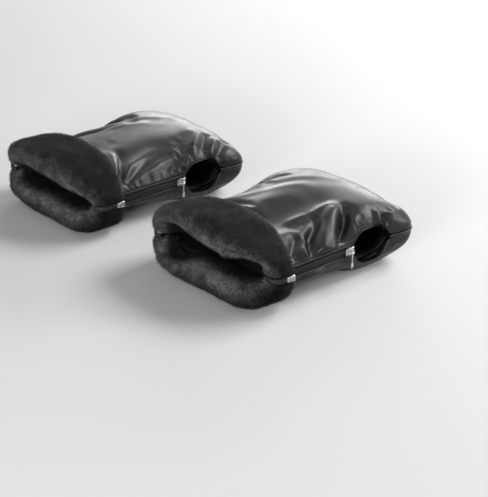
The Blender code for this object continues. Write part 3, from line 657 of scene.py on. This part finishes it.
def ruffle(piece, pinned):
    """Cloth with a little extra length and air under it, its borders held. Its moves are capped."""
    group = piece.vertex_groups.new(name="sewn")
    for index, weight in enumerate(pinned):
        if weight > 0.001:
            group.add([index], float(weight), "REPLACE")
    start = mesh_points(piece.data)
    cloth = piece.modifiers.new("cloth", "CLOTH")
    for label, value in CLOTH.items():
        setattr(cloth.settings, label, value)
    cloth.settings.effector_weights.gravity = 0
    for frame_number in range(1, CLOTH_FRAMES + 1):
        scene.frame_set(frame_number)
    graph = bpy.context.evaluated_depsgraph_get()
    done = mesh_points(piece.evaluated_get(graph).data)
    piece.modifiers.clear()
    piece.vertex_groups.clear()
    scene.frame_set(1)
    moved = done - start
    length = np.linalg.norm(moved, axis=1, keepdims=True)
    capped = moved * np.minimum(1, SLACK_LIMIT * MM / np.maximum(length, 1e-9))
    print(piece.name, "moved at most", round(float(length.max()) / MM, 2), "mm")
    set_points(piece.data, start + capped)


# %% Shells

SHELL_COLUMNS, SHELL_ROWS, HEM_SHARE = 128, 72, 0.05
SEAM_STRIP, SEAM_FADE, END_FADE, FRONT_HELD = 0.003, 0.024, 0.1, 0.2
FRONT_SHARE, MIDDLE_SHARE, TAIL_SHARE = 0.48, 0.3, 0.22
SEWN_ROWS = {}


def shell_station(share):
    """Places along the pouch, closer together over the opening's ends and at the closed end."""
    front = SHELL_FRONT_X + SHEET_INSET + (TUNNEL_START - SHELL_FRONT_X - SHEET_INSET) * share / FRONT_SHARE
    over = np.clip((share - FRONT_SHARE) / MIDDLE_SHARE, 0, 1)
    behind = np.clip((share - FRONT_SHARE - MIDDLE_SHARE) / TAIL_SHARE, 0, 1)
    middle = TUNNEL_X - TUNNEL_HALF * np.cos(math.pi * over)
    tail = TUNNEL_END + (END_X - TUNNEL_END) * np.sin(math.pi / 2 * behind)
    return np.where(over <= 0, front, np.where(over < 1, middle, tail))


def shell_points(muff, half, u, v):
    """The leather's outer face, with its rim turned in round the side opening of the lower sheet."""
    x = shell_station(u)
    depth = hem_depth(x) if half == LOWER else np.zeros_like(x)
    hem = HEM_SHARE * depth / HEM_DEPTH
    flat = np.clip((v - hem) / (1 - 2 * hem), 0, 1)
    turned = 1 - np.minimum(v, 1 - v) / np.maximum(hem, 1e-6)
    lift = -depth * np.clip(turned, 0, 1)
    edge = seam_angle(x, lift, half, shell_edge(x, half))
    return body(muff, x, edge + (math.pi - 2 * edge) * flat, lift, half)


def make_shell(hand, half):
    """A leather sheet with its folds, which die out at the seams, the closed end and the turned rim."""
    muff, half_name = MUFFS[hand], HALVES[half]
    piece, u, v = grid_sheet(f"{hand}_{half_name}_leather", SHELL_COLUMNS, SHELL_ROWS)
    points = shell_points(muff, half, u, v)
    normal = outward(points, SHELL_COLUMNS, SHELL_ROWS)
    from_seam = np.minimum(v, 1 - v)
    border = eased((from_seam - SEAM_STRIP) / SEAM_FADE) * eased((1 - u) / END_FADE)
    if half == LOWER:
        flat = eased((from_seam - HEM_SHARE) / HEM_SHARE)
        border *= 1 - eased(hem_depth(shell_station(u)) / 2) * (1 - flat)
    points = points + normal * (fold_height(points, FOLDS[hand, half]) * border)[:, None]
    set_points(piece.data, to_row(muff, points))
    face_out(piece)
    ruffle(piece, 1 - border * eased(u / FRONT_HELD))
    rest_on_floor(piece.data)
    rows = mesh_points(piece.data).reshape(SHELL_ROWS + 1, -1, 3)
    SEWN_ROWS[hand, half, RIGHT_HAND_SIDE], SEWN_ROWS[hand, half, LEFT_HAND_SIDE] = rows[1], rows[-2]
    thicken(smooth(piece), SHELL)
    return settle(piece, "leather", LEATHER, f"{hand}_{half_name}_shell")


for hand in MUFFS:
    for half in HALVES:
        made = make_shell(hand, half)
        print(made.name, len(made.data.polygons), "faces before smoothing")

# %% [markdown]
# ## Padding and lining
#
# Under the leather lies a thin sheet of white padding, and under that the fur lining, which is the
# wall of the pocket. The lining shows in the mouth and in the side openings. The padding hardly shows,
# but it is a part of its own.

# %% Padding and lining

LAYER_COLUMNS, LAYER_ROWS = 48, 40


def padding_edge(x, half):
    return np.maximum(opening_edge(x, half), TAPE_FAR) + 4


def lining_edge(x, half):
    return opening_edge(x, half) + SEWN_GAP


# A layer is (where it starts and ends along the pouch, how deep its face lies and how thick it is, its
# edge's height, its slot and material).
PADDING = ((SHELL_FRONT_X + SHEET_INSET, END_X - 25), (4.4, 1.6), padding_edge, ("wadding", WADDING))
# The pocket wears the darker copy of the fur, as painted shade.
POCKET = ((SHELL_FRONT_X + CUFF_LIP + SHEET_INSET, END_X - 7.2), (7.2, 7), lining_edge, ("fur", SHADED_LINING_FUR))


def make_layer(hand, half, layer, name, node):
    (start_x, end_x), (depth, thickness), edge_height, (slot, material) = layer
    muff, base = MUFFS[hand], f"{hand}_{HALVES[half]}"
    piece, u, v = grid_sheet(f"{base}_{name}", LAYER_COLUMNS, LAYER_ROWS)
    x = start_x + (end_x - start_x) * np.sin(math.pi / 2 * u)
    edge = seam_angle(x, -depth, half, edge_height(x, half))
    angle = edge + (math.pi - 2 * edge) * v
    points = body(muff, x, angle, -depth, half)
    normal = outward(points, LAYER_COLUMNS, LAYER_ROWS)
    dents = np.minimum(fold_height(body(muff, x, angle, 0, half), FOLDS[hand, half]), 0)
    points = points + normal * dents[:, None]
    set_points(piece.data, to_row(muff, points))
    face_out(piece)
    thicken(smooth(piece), thickness)
    return settle(piece, slot, material, f"{base}_{node}")


for hand in MUFFS:
    for half in HALVES:
        padding = make_layer(hand, half, PADDING, "padding", "wadding")
        lining = make_layer(hand, half, POCKET, "pocket", "lining")
        print(padding.name, lining.name)

# %% [markdown]
# ## Fur cuffs
#
# The lining's end is turned back over the leather, so the cuff is a thick soft roll: over the shell,
# round the nose and in. Its section is a hook, swept from one side seam to the other. The pile is
# thousands of fine blades that lean the way the fur was brushed. Hair particles don't survive an
# export, so the blades are small cones scattered over the roll and made real.

# %% The pile, as a geometry node group

BLADE_RADIUS, BLADE_LENGTH, BLADE_SIDES, BLADES_PER_MM2, BLADE_SWAY = 0.34, 5.0, 3, 2.3, 0.3
BLADE_SCALES, BLADE_SHADES = ((0.8, 0.8, 0.65), (1.2, 1.2, 1.15)), (0.15, 1.0)


def pile_group(name, seed):
    """Cones on the faces, as dense as 'pile' says, leaning the way that 'lean' says."""
    tree = bpy.data.node_groups.new(name, "GeometryNodeTree")
    tree.interface.new_socket(name="Skin", in_out="INPUT", socket_type="NodeSocketGeometry")
    tree.interface.new_socket(name="Fur", in_out="OUTPUT", socket_type="NodeSocketGeometry")
    skin, fur = tree.nodes.new("NodeGroupInput"), tree.nodes.new("NodeGroupOutput")

    def attribute(label, kind):
        return add_node(tree, "GeometryNodeInputNamedAttribute", data_type=kind, Name=label), "Attribute"

    def chance(kind, low, high, number):
        node = add_node(tree, "FunctionNodeRandomValue", data_type=kind)
        sockets = [s for s in node.inputs if s.enabled]
        sockets[0].default_value, sockets[1].default_value = low, high
        node.inputs["Seed"].default_value = seed + number
        return node, next(i for i, s in enumerate(node.outputs) if s.enabled)

    density = math_node(tree, "MULTIPLY", attribute("pile", "FLOAT"), BLADES_PER_MM2 / MM**2)
    kind = "GeometryNodeDistributePointsOnFaces"
    scatter = add_node(tree, kind, Mesh=(skin, 0), Density=density, Seed=seed)
    way = add_node(tree, "ShaderNodeVectorMath", operation="ADD")
    join(tree, attribute("lean", "FLOAT_VECTOR"), (way, 0))
    join(tree, chance("FLOAT_VECTOR", (-BLADE_SWAY,) * 3, (BLADE_SWAY,) * 3, 1), (way, 1))
    turn = add_node(tree, "FunctionNodeAlignRotationToVector", axis="Z", Vector=(way, 0))
    blade = add_node(
        tree, "GeometryNodeMeshCone", fill_type="NONE", Vertices=BLADE_SIDES, Side_Segments=1,
        Radius_Top=0.0, Radius_Bottom=BLADE_RADIUS * MM, Depth=BLADE_LENGTH * MM,
    )
    plant = add_node(
        tree, "GeometryNodeInstanceOnPoints", Points=(scatter, "Points"), Instance=(blade, "Mesh"),
        Rotation=(turn, "Rotation"), Scale=chance("FLOAT_VECTOR", *BLADE_SCALES, 2),
    )
    mark = add_node(
        tree, "GeometryNodeStoreNamedAttribute", data_type="FLOAT", domain="INSTANCE", Name="shade",
        Geometry=(plant, "Instances"), Value=chance("FLOAT", *BLADE_SHADES, 3),
    )
    real = add_node(tree, "GeometryNodeRealizeInstances", Geometry=(mark, "Geometry"))
    both = add_node(tree, "GeometryNodeJoinGeometry")
    join(tree, (skin, 0), (both, 0))
    join(tree, (real, 0), (both, 0))
    join(tree, (both, 0), (fur, 0))
    return tree


def set_attribute(mesh, label, kind, values):
    data = mesh.attributes.new(label, kind, "POINT").data
    data.foreach_set("vector" if kind == "FLOAT_VECTOR" else "value", np.asarray(values, np.float32).ravel())


def grow_pile(piece, lean, pile, standing, seed):
    set_attribute(piece.data, "lean", "FLOAT_VECTOR", lean)
    set_attribute(piece.data, "pile", "FLOAT", pile)
    # Painted light and shade for the fur's colour: lighter on the nose's front, darker on top and inside the
    # mouth.
    set_attribute(piece.data, "standing", "FLOAT", standing)
    smooth(piece)
    coat = piece.modifiers.new("pile", "NODES")
    coat.node_group = pile_group(f"{piece.name}_pile", seed)
    apply_modifiers(piece)
    piece.data.shade_smooth()


# %% The cuff's hooked section

PILE_HEIGHT, HOOK_GAP = 2.2, 0.6
# Where round each cuff's nose the painted light is brightest.
NOSE_LIGHT_SKEW = {UPPER: 1.04, LOWER: 1.8}


def cuff_section(angle, half):
    """The skin under the fur: corners of a hook, each (x, lift, the pile's cover, its painted light and
    shade).
    """
    top = CUFF_SIDE + (CUFF_CROWN - CUFF_SIDE) * math.sin(angle) - PILE_HEIGHT
    wall = WALL_DEPTH - PILE_HEIGHT / 2
    edge_x = CUFF_EDGE_X - CUFF_CUTBACK * math.cos(angle) ** 2 - PILE_HEIGHT / 2
    radius, middle = (top + wall) / 2, (top - wall) / 2
    slot_radius, slot_middle = (LINING_DEPTH + HOOK_GAP) / 2, (HOOK_GAP - LINING_DEPTH) / 2
    lip_x = SHELL_FRONT_X + CUFF_LIP
    # Last column: painted light and shade, dark on top, lighter on the nose's front, darkest in the mouth
    # and slot.
    corners = [(edge_x, top * 0.2, 1, 0.25), (edge_x, top * 0.6, 1.2, 0.3)]
    corners += [(edge_x - top * 0.3, top * 0.9, 1.2, 0.28), (edge_x - top * 0.9, top, 1, 0.16)]
    corners += [(edge_x + (SHELL_FRONT_X - edge_x) * s, top, 1, 0.14) for s in (0.5, 0.75)]
    for t in np.linspace(0, math.pi, 13):
        # Painted light round the nose, brightest on its front.
        standing = 0.13 + 0.85 * math.sin(math.pi * (t / math.pi) ** NOSE_LIGHT_SKEW[half]) ** 2
        corners.append((SHELL_FRONT_X - radius * math.sin(t), middle + radius * math.cos(t), 1, standing))
    corners += [(lip_x - 4, -wall, 0.7, 0.12), (lip_x, -wall, 0.3, 0.05), (lip_x, -LINING_DEPTH, 0, 0)]
    for t in np.linspace(math.pi, 0, 5):
        lift = slot_middle + slot_radius * math.cos(t)
        corners.append((SHELL_FRONT_X - slot_radius * math.sin(t), lift, 0, 0))
    return np.array(corners + [(edge_x - top * 0.2, HOOK_GAP, 0, 0)])


def resample(corners, count):
    """A closed outline as evenly spaced rows, each with all the columns that its corners have."""
    ring = np.vstack([corners, corners[:1]])
    along = lengths_along(ring[:, :2])
    return points_at(ring, along, np.linspace(0, along[-1], count, endpoint=False))


CUFF_AROUND, CUFF_STEPS = 72, 72
LEAN_OUT, LEAN_ALONG, STREAKS = 0.62, 0.78, 34


def unit(vectors):
    return vectors / np.maximum(np.linalg.norm(vectors, axis=2, keepdims=True), 1e-9)


def make_cuff(hand, half):
    """A tube whose corners are laid on the hooked sections, made lumpy in streaks, and its pile."""
    muff, half_name = MUFFS[hand], HALVES[half]
    tube = bmesh.new()
    bmesh.ops.create_cone(tube, cap_ends=True, segments=CUFF_AROUND, radius1=1, radius2=1, depth=2)
    long_edges = [e for e in tube.edges if abs(e.verts[0].co.z - e.verts[1].co.z) > 1]
    bmesh.ops.subdivide_edges(tube, edges=long_edges, cuts=CUFF_STEPS - 1)
    first = min(math.atan2(v.co.y, v.co.x) for v in tube.verts)
    split = float(seam_angle(SHELL_FRONT_X, 0.0, half, CUFF_SPLIT))
    angles = np.linspace(split, math.pi - split, CUFF_STEPS + 1)
    sections = np.array([resample(cuff_section(angle, half), CUFF_AROUND) for angle in angles])
    x, lift, cover, standing = np.moveaxis(sections, 2, 0)
    rings = body(muff, x, angles[:, None], lift, half)
    along = np.roll(rings, 1, axis=1) - np.roll(rings, -1, axis=1)
    along, away = unit(along), unit(np.cross(along, np.gradient(rings, axis=0)))
    centre = rings.mean(axis=1, keepdims=True)
    away *= np.sign((away * (rings - centre)).sum(2).mean())
    streak = np.linspace(0, 1, CUFF_STEPS + 1)[:, None] * STREAKS + 0.6 * np.sin(rings[:, :, 0] / 9)
    lumps = 0.35 * np.sin(streak * 2.1 + 1) + 0.3 * np.sin(streak * 3.7)
    lumps += 0.45 * np.sin(streak * 0.9 + rings[:, :, 0] / 7)
    rings = rings + away * (lumps * np.minimum(cover, 1))[:, :, None]
    lean = away * LEAN_OUT + along * LEAN_ALONG
    order = []
    for vert in tube.verts:
        corner = round((math.atan2(vert.co.y, vert.co.x) - first) / math.tau * CUFF_AROUND) % CUFF_AROUND
        step = round((vert.co.z + 1) / 2 * CUFF_STEPS)
        order.append((step, corner))
        vert.co = to_row(muff, rings[step, corner])
    if tube.calc_volume(signed=True) < 0:
        bmesh.ops.reverse_faces(tube, faces=tube.faces)
    mesh = bpy.data.meshes.new(f"{hand}_{half_name}_fur_cuff")
    tube.to_mesh(mesh)
    tube.free()
    piece, at = add_object(mesh.name, mesh), tuple(np.array(order).T)
    grow_pile(piece, lean[at], cover[at], standing[at], 10 + len(bpy.data.node_groups))
    rest_on_floor(piece.data)
    return settle(piece, "fur", FUR, f"{hand}_{half_name}_cuff")


for hand in MUFFS:
    for half in HALVES:
        made = make_cuff(hand, half)
        print(made.name, len(made.data.polygons), "faces")

# %% [markdown]
# ## Bands, piping and tapes
#
# A folded strip of leather binds each upper sheet's edge over its zip. The teeth sit on woven tapes
# behind the sheets' edges, and piping closes the seam round the end.

# %% Side bands and tapes

BINDING_SIZE, TAPE_SIZE = (-0.3, 0.5, 0.8, 0.4), (-2.15, 0, 0.45, 0)


def sides(muff):
    """The muff's two sides, each a name and its direction along Y."""
    return ("outer", muff["outer"]), ("inner", -muff["outer"])


def side_x(muff, side, x):
    """Where a place along the pouch comes to lie at a side, whose mouth is drawn back."""
    angle = 0.0 if side == RIGHT_HAND_SIDE else math.pi
    return float(body(muff, x, angle, 0, UPPER)[0])


def strip_points(muff, side, half, x, lift, height):
    angle = seam_angle(x, lift, half, height)
    points = body(muff, x, angle if side == RIGHT_HAND_SIDE else math.pi - angle, lift, half)
    points[:, 0] = x
    return points


def make_strip(muff, name, side, half, x_range, edges, size, grid, look, node):
    """A strip between two edges. size is its lift, bulge, thickness and the share that is turned in."""
    (lift, crown, thickness, turned_in), (slot, material) = size, look
    piece, u, v = grid_sheet(name, *grid)
    x = x_range[0] + (x_range[1] - x_range[0]) * u
    low, high = edges(x)
    hem = turned_in * hem_depth(x) / HEM_DEPTH
    flat = np.clip((v - hem) / (1 - hem), 0, 1)
    turned = hem_depth(x) * np.clip(1 - v / np.maximum(hem, 1e-6), 0, 1)
    bulge = crown * np.sin(math.pi * flat) ** 0.5 - turned * (hem > 0)
    points = strip_points(muff, side, half, x, lift + bulge, low + (high - low) * flat)
    set_points(piece.data, to_row(muff, points))
    builder = bmesh.new()
    builder.from_mesh(piece.data)
    for face in builder.faces:
        face.normal_update()
    if sum(face.normal.y for face in builder.faces) * side < 0:
        bmesh.ops.reverse_faces(builder, faces=builder.faces)
    builder.to_mesh(piece.data)
    builder.free()
    thicken(smooth(piece), thickness, even=False)
    return settle(piece, slot, material, node)


def binding_edges(x):
    edge = opening_edge(x, UPPER)
    return edge, edge + np.maximum(band_height(x), 0.4)


def tape_edges(x):
    return np.full_like(x, TAPE_NEAR), np.full_like(x, TAPE_FAR)


for hand, muff in MUFFS.items():
    for side_name, side in sides(muff):
        base, start = f"{hand}_{side_name}", side_x(muff, side, SHELL_FRONT_X)
        make_strip(
            muff, f"{base}_binding", side, UPPER, (start, TUNNEL_END - 0.6), binding_edges,
            BINDING_SIZE, (90, 10), ("leather", TRIM), f"{base}_side_band",
        )
        for half, half_name in HALVES.items():
            make_strip(
                muff, f"{base}_{half_name}_tape", side, half, (start, TUNNEL_START - 0.5), tape_edges,
                TAPE_SIZE, (40, 4), ("tape", TAPE), f"{base}_{half_name}_zip_tape",
            )

# %% Piping

PIPING_RADIUS = 1.25


def cord_mesh(name, points, radius):
    """A round cord along points, from a curve with a bevel."""
    curve = bpy.data.curves.new(name, "CURVE")
    curve.dimensions = "3D"
    curve.bevel_depth, curve.bevel_resolution, curve.use_fill_caps = radius, 3, True
    spline = curve.splines.new("POLY")
    spline.points.add(len(points) - 1)
    for point, spot in zip(spline.points, points):
        point.co = (*spot, 1)
    guide = add_object("guide", curve)
    mesh = bpy.data.meshes.new_from_object(guide.evaluated_get(bpy.context.evaluated_depsgraph_get()))
    bpy.data.objects.remove(guide)
    mesh.name = name
    return mesh


corner = END_X - CORNER_RADIUS
straight, turned = np.linspace(TUNNEL_END, corner, 8), np.linspace(0.1, math.pi / 2, 14)
places = np.concatenate([straight, corner + CORNER_RADIUS * np.sin(turned)])
near = np.stack([places, -half_width(places, 0), 0 * places], axis=1)
line = np.vstack([near, near[::-1] * (1, -1, 1)])
for hand, muff in MUFFS.items():
    mesh = cord_mesh(f"{hand}_piping", to_row(muff, line), PIPING_RADIUS * MM)
    mesh.shade_smooth()
    settle(add_object(f"{hand}_piping", mesh), "leather", TRIM, f"{hand}_end_welt")
    print(hand, "piping", len(mesh.polygons), "faces")

# %% [markdown]
# ## Zips
#
# The zips are the finest part. Each has two rows of moulded teeth on corded tapes, a slider whose two
# plates are joined by a bridge, an arched bail, and a thin pull that hangs from it. At the mouth the
# closed chain comes round the fur cuff to its pin and retaining box. Teeth could be a texture, but
# they are seen from close by, so each is a small bevelled block, and blocks this small need few faces.

# %% Sizes of the zip

TOOTH_PITCH, TOOTH_WIDTH, TOOTH_REACH, SPINE_HEIGHT, TOOTH_THICKNESS = 2.6, 1.15, 1.0, 2.2, 2.2
TOOTH_BEVEL, RAIL_HEIGHT, STOP_HEIGHT = 0.18, 2.25, 1.9
CHAIN_TAPE_WIDTH, CHAIN_TAPE_DEPTH, CHAIN_DEPTH = 5.4, 1.1, 0.9
ZIP_PLANE, SLIDER_REST, SLIDER_LENGTH, SLIDER_HALF_HEIGHT, PLATE = 78.7, 18, 11, 4.4, 1.4
CHANNEL, BAIL_RISE, BAIL_WIRE, BAIL_SPAN, EYE_OUTER, EYE_WIDTH = 1.7, 3.2, 0.65, 7, 1.85, 2.3
BOX_LENGTH, PIN_LENGTH, END_GAP, END_OUTER = 5.5, 4, 0.25, 90.2

# %% Blocks


def add_block(builder, size, middle, bevel, segments=1, turn=None, taper=1.0):
    """A bevelled block. turn is about its middle, taper narrows its -X end."""
    made = bmesh.ops.create_cube(builder, size=1)["verts"]
    for vert in made:
        end = taper if vert.co.x < 0 else 1
        vert.co = Vector((vert.co.x * size[0], vert.co.y * size[1], vert.co.z * size[2] * end))
    edges = list({e for v in made for e in v.link_edges})
    done = bmesh.ops.bevel(
        builder, geom=edges, offset=bevel, segments=segments, profile=0.5, affect="EDGES", material=-1
    )
    made = list({v for f in done["faces"] for v in f.verts} | {v for v in made if v.is_valid})
    for vert in made:
        vert.co = (turn or Matrix.Identity(3)) @ vert.co + Vector(middle)
    return made


def add_rod(builder, radius, depth, place, turn, **settings):
    """A round rod or tube along Z, turned and then moved."""
    made = bmesh.ops.create_cone(builder, radius1=radius, radius2=radius, depth=depth, **settings)["verts"]
    for vert in made:
        vert.co = turn @ vert.co + place


def finish_part(builder, muff, name, *settled):
    """From millimetres in the muff's frame to a settled object in the row."""
    bmesh.ops.recalc_face_normals(builder, faces=builder.faces)
    mesh = bpy.data.meshes.new(name)
    builder.to_mesh(mesh)
    builder.free()
    set_points(mesh, to_row(muff, mesh_points(mesh)))
    mesh.shade_smooth()
    return settle(add_object(name, mesh), *settled)


# %% Rows of teeth


def make_teeth(hand, side_name, side, half):
    """One comb of teeth, each a spine and a reach into the other comb, its rail and its top stop."""
    muff, builder, base = MUFFS[hand], bmesh.new(), f"{hand}_{side_name}_{HALVES[half]}"
    spine = (TOOTH_WIDTH, TOOTH_THICKNESS, SPINE_HEIGHT)
    reach = (TOOTH_WIDTH * 0.8, TOOTH_THICKNESS * 0.7, TOOTH_REACH + 0.6)
    start = side_x(muff, side, SHELL_FRONT_X) + 1
    last = SLIDER_REST + SLIDER_LENGTH / 2 - 3.4
    shift = 0 if half == UPPER else TOOTH_PITCH / 2
    y = side * ZIP_PLANE
    for number in range(int((last - start) / TOOTH_PITCH - 0.5)):
        x = start + shift + (number + 0.5) * TOOTH_PITCH
        add_block(builder, spine, (x, y, half * (SPINE_HEIGHT / 2 + 0.2)), TOOTH_BEVEL)
        add_block(builder, reach, (x, y, half * (0.3 - TOOTH_REACH / 2)), 0.2)
    stop = TUNNEL_START - SEWN_GAP - 1
    add_block(builder, (stop - start, 1.3, 0.7), ((stop + start) / 2, y, half * RAIL_HEIGHT), 0.25)
    add_block(builder, (2, 2.6, 1.5), (stop, y, half * STOP_HEIGHT), 0.3, 2)
    finish_part(builder, muff, f"{base}_teeth", "teeth", TEETH, f"{base}_zip_teeth")


# %% The chain round the cuff, its pin and its box


def cuff_side_path(muff, side, depth):
    """The line of the side seam round the cuff, from inside the mouth to the pin, as (x, y)."""
    top, wall = CUFF_SIDE - depth, WALL_DEPTH - depth
    radius, middle = (top + wall) / 2, (top - wall) / 2
    nose_x = side_x(muff, side, SHELL_FRONT_X)
    turns = np.linspace(0.35 * math.pi, math.pi, 20)
    outward_by = HALF_WIDTH + middle - radius * np.cos(turns)
    path = np.column_stack([nose_x - radius * np.sin(turns), side * outward_by])
    end = side_x(muff, side, CUFF_EDGE_X - CUFF_CUTBACK) - BOX_LENGTH - PIN_LENGTH - 2 * END_GAP
    return np.vstack([path, (end, side * (HALF_WIDTH + top))])


def walk(path, places):
    """Points and directions at given shares of a path, and its length."""
    along = lengths_along(path)
    places = np.asarray(places) * along[-1]
    way = points_at(path, along, places + 0.3) - points_at(path, along, places - 0.3)
    return points_at(path, along, places), way / np.linalg.norm(way, axis=1, keepdims=True), along[-1]


def make_chain(hand, side_name, side):
    """The closed chain on its tape. Its teeth come from both rows by turns."""
    muff, base = MUFFS[hand], f"{hand}_{side_name}"
    tape, u, v = grid_sheet(f"{base}_chain_tape", 48, 2)
    spot, _, length = walk(cuff_side_path(muff, side, CHAIN_TAPE_DEPTH), u)
    set_points(tape.data, to_row(muff, np.column_stack([spot, (v - 0.5) * CHAIN_TAPE_WIDTH])))
    face_out(tape)
    thicken(smooth(tape), 0.5, even=False)
    settle(tape, "tape", TAPE, None)
    builder = bmesh.new()
    count = int(length / TOOTH_PITCH * 2)
    spots, ways, _ = walk(cuff_side_path(muff, side, CHAIN_DEPTH), (np.arange(count) + 0.5) / count)
    for number, (place, way) in enumerate(zip(spots, ways)):
        turn = Matrix(((way[0], -way[1], 0), (way[1], way[0], 0), (0, 0, 1)))
        half = UPPER if number % 2 else LOWER
        add_block(builder, (TOOTH_WIDTH, 1.7, 2.9), (*place, half * 0.55), TOOTH_BEVEL, 1, turn)
    finish_part(builder, muff, f"{base}_chain", "teeth", TEETH, f"{base}_cuff_chain")


def make_zip_end(hand, side_name, side):
    """The retaining box and the pin before it, each with its ribs."""
    muff, base = MUFFS[hand], f"{hand}_{side_name}"
    end = side_x(muff, side, CUFF_EDGE_X - CUFF_CUTBACK)
    for part, length, height, x, ribs in (
        ("box", BOX_LENGTH, 6.6, end - BOX_LENGTH / 2, 2),
        ("pin", PIN_LENGTH, 5.4, end - BOX_LENGTH - END_GAP - PIN_LENGTH / 2, 1),
    ):
        builder = bmesh.new()
        add_block(builder, (length, 2.4, height), (x, side * (END_OUTER - 2.2), 0), 0.5, 3)
        for rib in range(ribs):
            spot = x + (rib - (ribs - 1) / 2) * length * 0.55
            size = (length * 0.3, 1.6, height * 0.86)
            add_block(builder, size, (spot, side * (END_OUTER - 0.8), 0), 0.4, 3)
        finish_part(builder, muff, f"{base}_{part}", "nickel", NICKEL, f"{base}_zip_{part}")


# %% Sliders and pulls


def make_slider(hand, side_name, side):
    """Two waisted plates, the outer one with flanges over the tapes, a bridge between them and a bail."""
    muff, base, builder = MUFFS[hand], f"{hand}_{side_name}", bmesh.new()
    size = (SLIDER_LENGTH, PLATE * 0.7, 2 * SLIDER_HALF_HEIGHT)
    for away in (-1, 1):
        y = side * (ZIP_PLANE + away * (CHANNEL + PLATE / 2))
        for vert in add_block(builder, size, (SLIDER_REST, y, 0), 0.4, 3, taper=0.7):
            vert.co.z *= 1 - 0.32 * math.exp(-(((vert.co.x - SLIDER_REST - 0.4) / 2.1) ** 2))
    for edge in (-1, 1):
        for end, length, inset in ((3.5, 2.8, 0.9), (-3.4, 3.0, 1.7)):
            place = (SLIDER_REST + end, y - side * 0.3, edge * (SLIDER_HALF_HEIGHT - inset))
            add_block(builder, (length, 1.3, 1.2), place, 0.35, 2)
    add_block(builder, (3, 2 * CHANNEL + 0.8, 2.2), (SLIDER_REST + 4, side * ZIP_PLANE, 0), 0.3, 2)
    arch = []
    for turn in np.linspace(0, math.pi, 17):
        across = math.copysign(abs(math.cos(turn)) ** 0.5, math.cos(turn)) * BAIL_SPAN / 2
        rise = (BAIL_RISE + PLATE / 2) * math.sin(turn) ** 0.5
        arch.append((SLIDER_REST - across, side * (ZIP_PLANE + CHANNEL + PLATE / 2 + rise), 0))
    wire = cord_mesh("wire", arch, BAIL_WIRE)
    builder.from_mesh(wire)
    bpy.data.meshes.remove(wire)
    node, carrier = f"{base}_zip_slider", f"{base}_slider"
    return finish_part(builder, muff, f"{base}_slider_body", "nickel", NICKEL, node, carrier)


def make_pull(hand, side_name, side):
    """A rolled eye on the bail, a neck, a wider end and a rib on it."""
    muff, base, builder = MUFFS[hand], f"{hand}_{side_name}", bmesh.new()
    y = side * (ZIP_PLANE + CHANNEL + PLATE + BAIL_RISE)
    centre, quarter = Vector((SLIDER_REST, y, -0.4)), Matrix.Rotation(math.pi / 2, 3, "Y")
    add_rod(builder, EYE_OUTER, EYE_WIDTH, centre, quarter, cap_ends=False, segments=28)
    builder.normal_update()
    bmesh.ops.solidify(builder, geom=builder.faces[:], thickness=0.5)
    add_block(builder, (1.5, 1.0, 10.2), (SLIDER_REST, y, -7.2), 0.3, 2)
    add_block(builder, (3.2, 1.0, 5.4), (SLIDER_REST, y, -14.4), 0.48, 3)
    add_block(builder, (1.5, 1.3, 3.2), (SLIDER_REST, y, -14.6), 0.3, 2)
    node, carrier = f"{base}_zip_pull", f"{base}_pull"
    return finish_part(builder, muff, f"{base}_pull_tab", "nickel", NICKEL, node, carrier)


for hand, muff in MUFFS.items():
    for side_name, side in sides(muff):
        for half in HALVES:
            make_teeth(hand, side_name, side, half)
        make_chain(hand, side_name, side)
        make_zip_end(hand, side_name, side)
        slider, pull = make_slider(hand, side_name, side), make_pull(hand, side_name, side)
        print(slider.name, len(slider.data.polygons), "faces,", pull.name, len(pull.data.polygons), "faces")
print("solids still shown", [name for name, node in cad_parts.items() if not node.hide_render])

# %% [markdown]
# ## Stitching
#
# A row of stitches holds each leather sheet to its side. A stitch is a short length of thread, so a rod
# with six sides is enough, and all of a row are one object.

# %% Rows of stitches

STITCH_LENGTH, STITCH_PITCH, THREAD_RADIUS = 3.0, 4.1, 0.3


def make_stitches(hand, side_name, side, half):
    """Stitches along the second row of the leather's grid, wherever its folds have taken it."""
    muff, builder = MUFFS[hand], bmesh.new()
    line = SEWN_ROWS[hand, half, side] / MM - muff["centre"]
    start, end = side_x(muff, side, CUFF_EDGE_X - CUFF_CUTBACK) + 4, TUNNEL_START - 6
    line = line[(line[:, 0] > start) & (line[:, 0] < end)]
    along = lengths_along(line)
    for number in range(int(along[-1] / STITCH_PITCH)):
        reach = number * STITCH_PITCH + np.array([0.5, 0.5 + STITCH_LENGTH])
        a, b = points_at(line, along, reach)
        turn = Vector(b - a).to_track_quat("Z", "Y").to_matrix()
        add_rod(builder, THREAD_RADIUS, STITCH_LENGTH, Vector((a + b) / 2), turn, cap_ends=True, segments=6)
    name = f"{hand}_{side_name}_{HALVES[half]}_stitches"
    return finish_part(builder, muff, name, "tape", THREAD, None)


for hand, muff in MUFFS.items():
    for side_name, side in sides(muff):
        for half in HALVES:
            row = make_stitches(hand, side_name, side, half)
    print(hand, "stitches in a row", len(row.data.polygons) // 8)
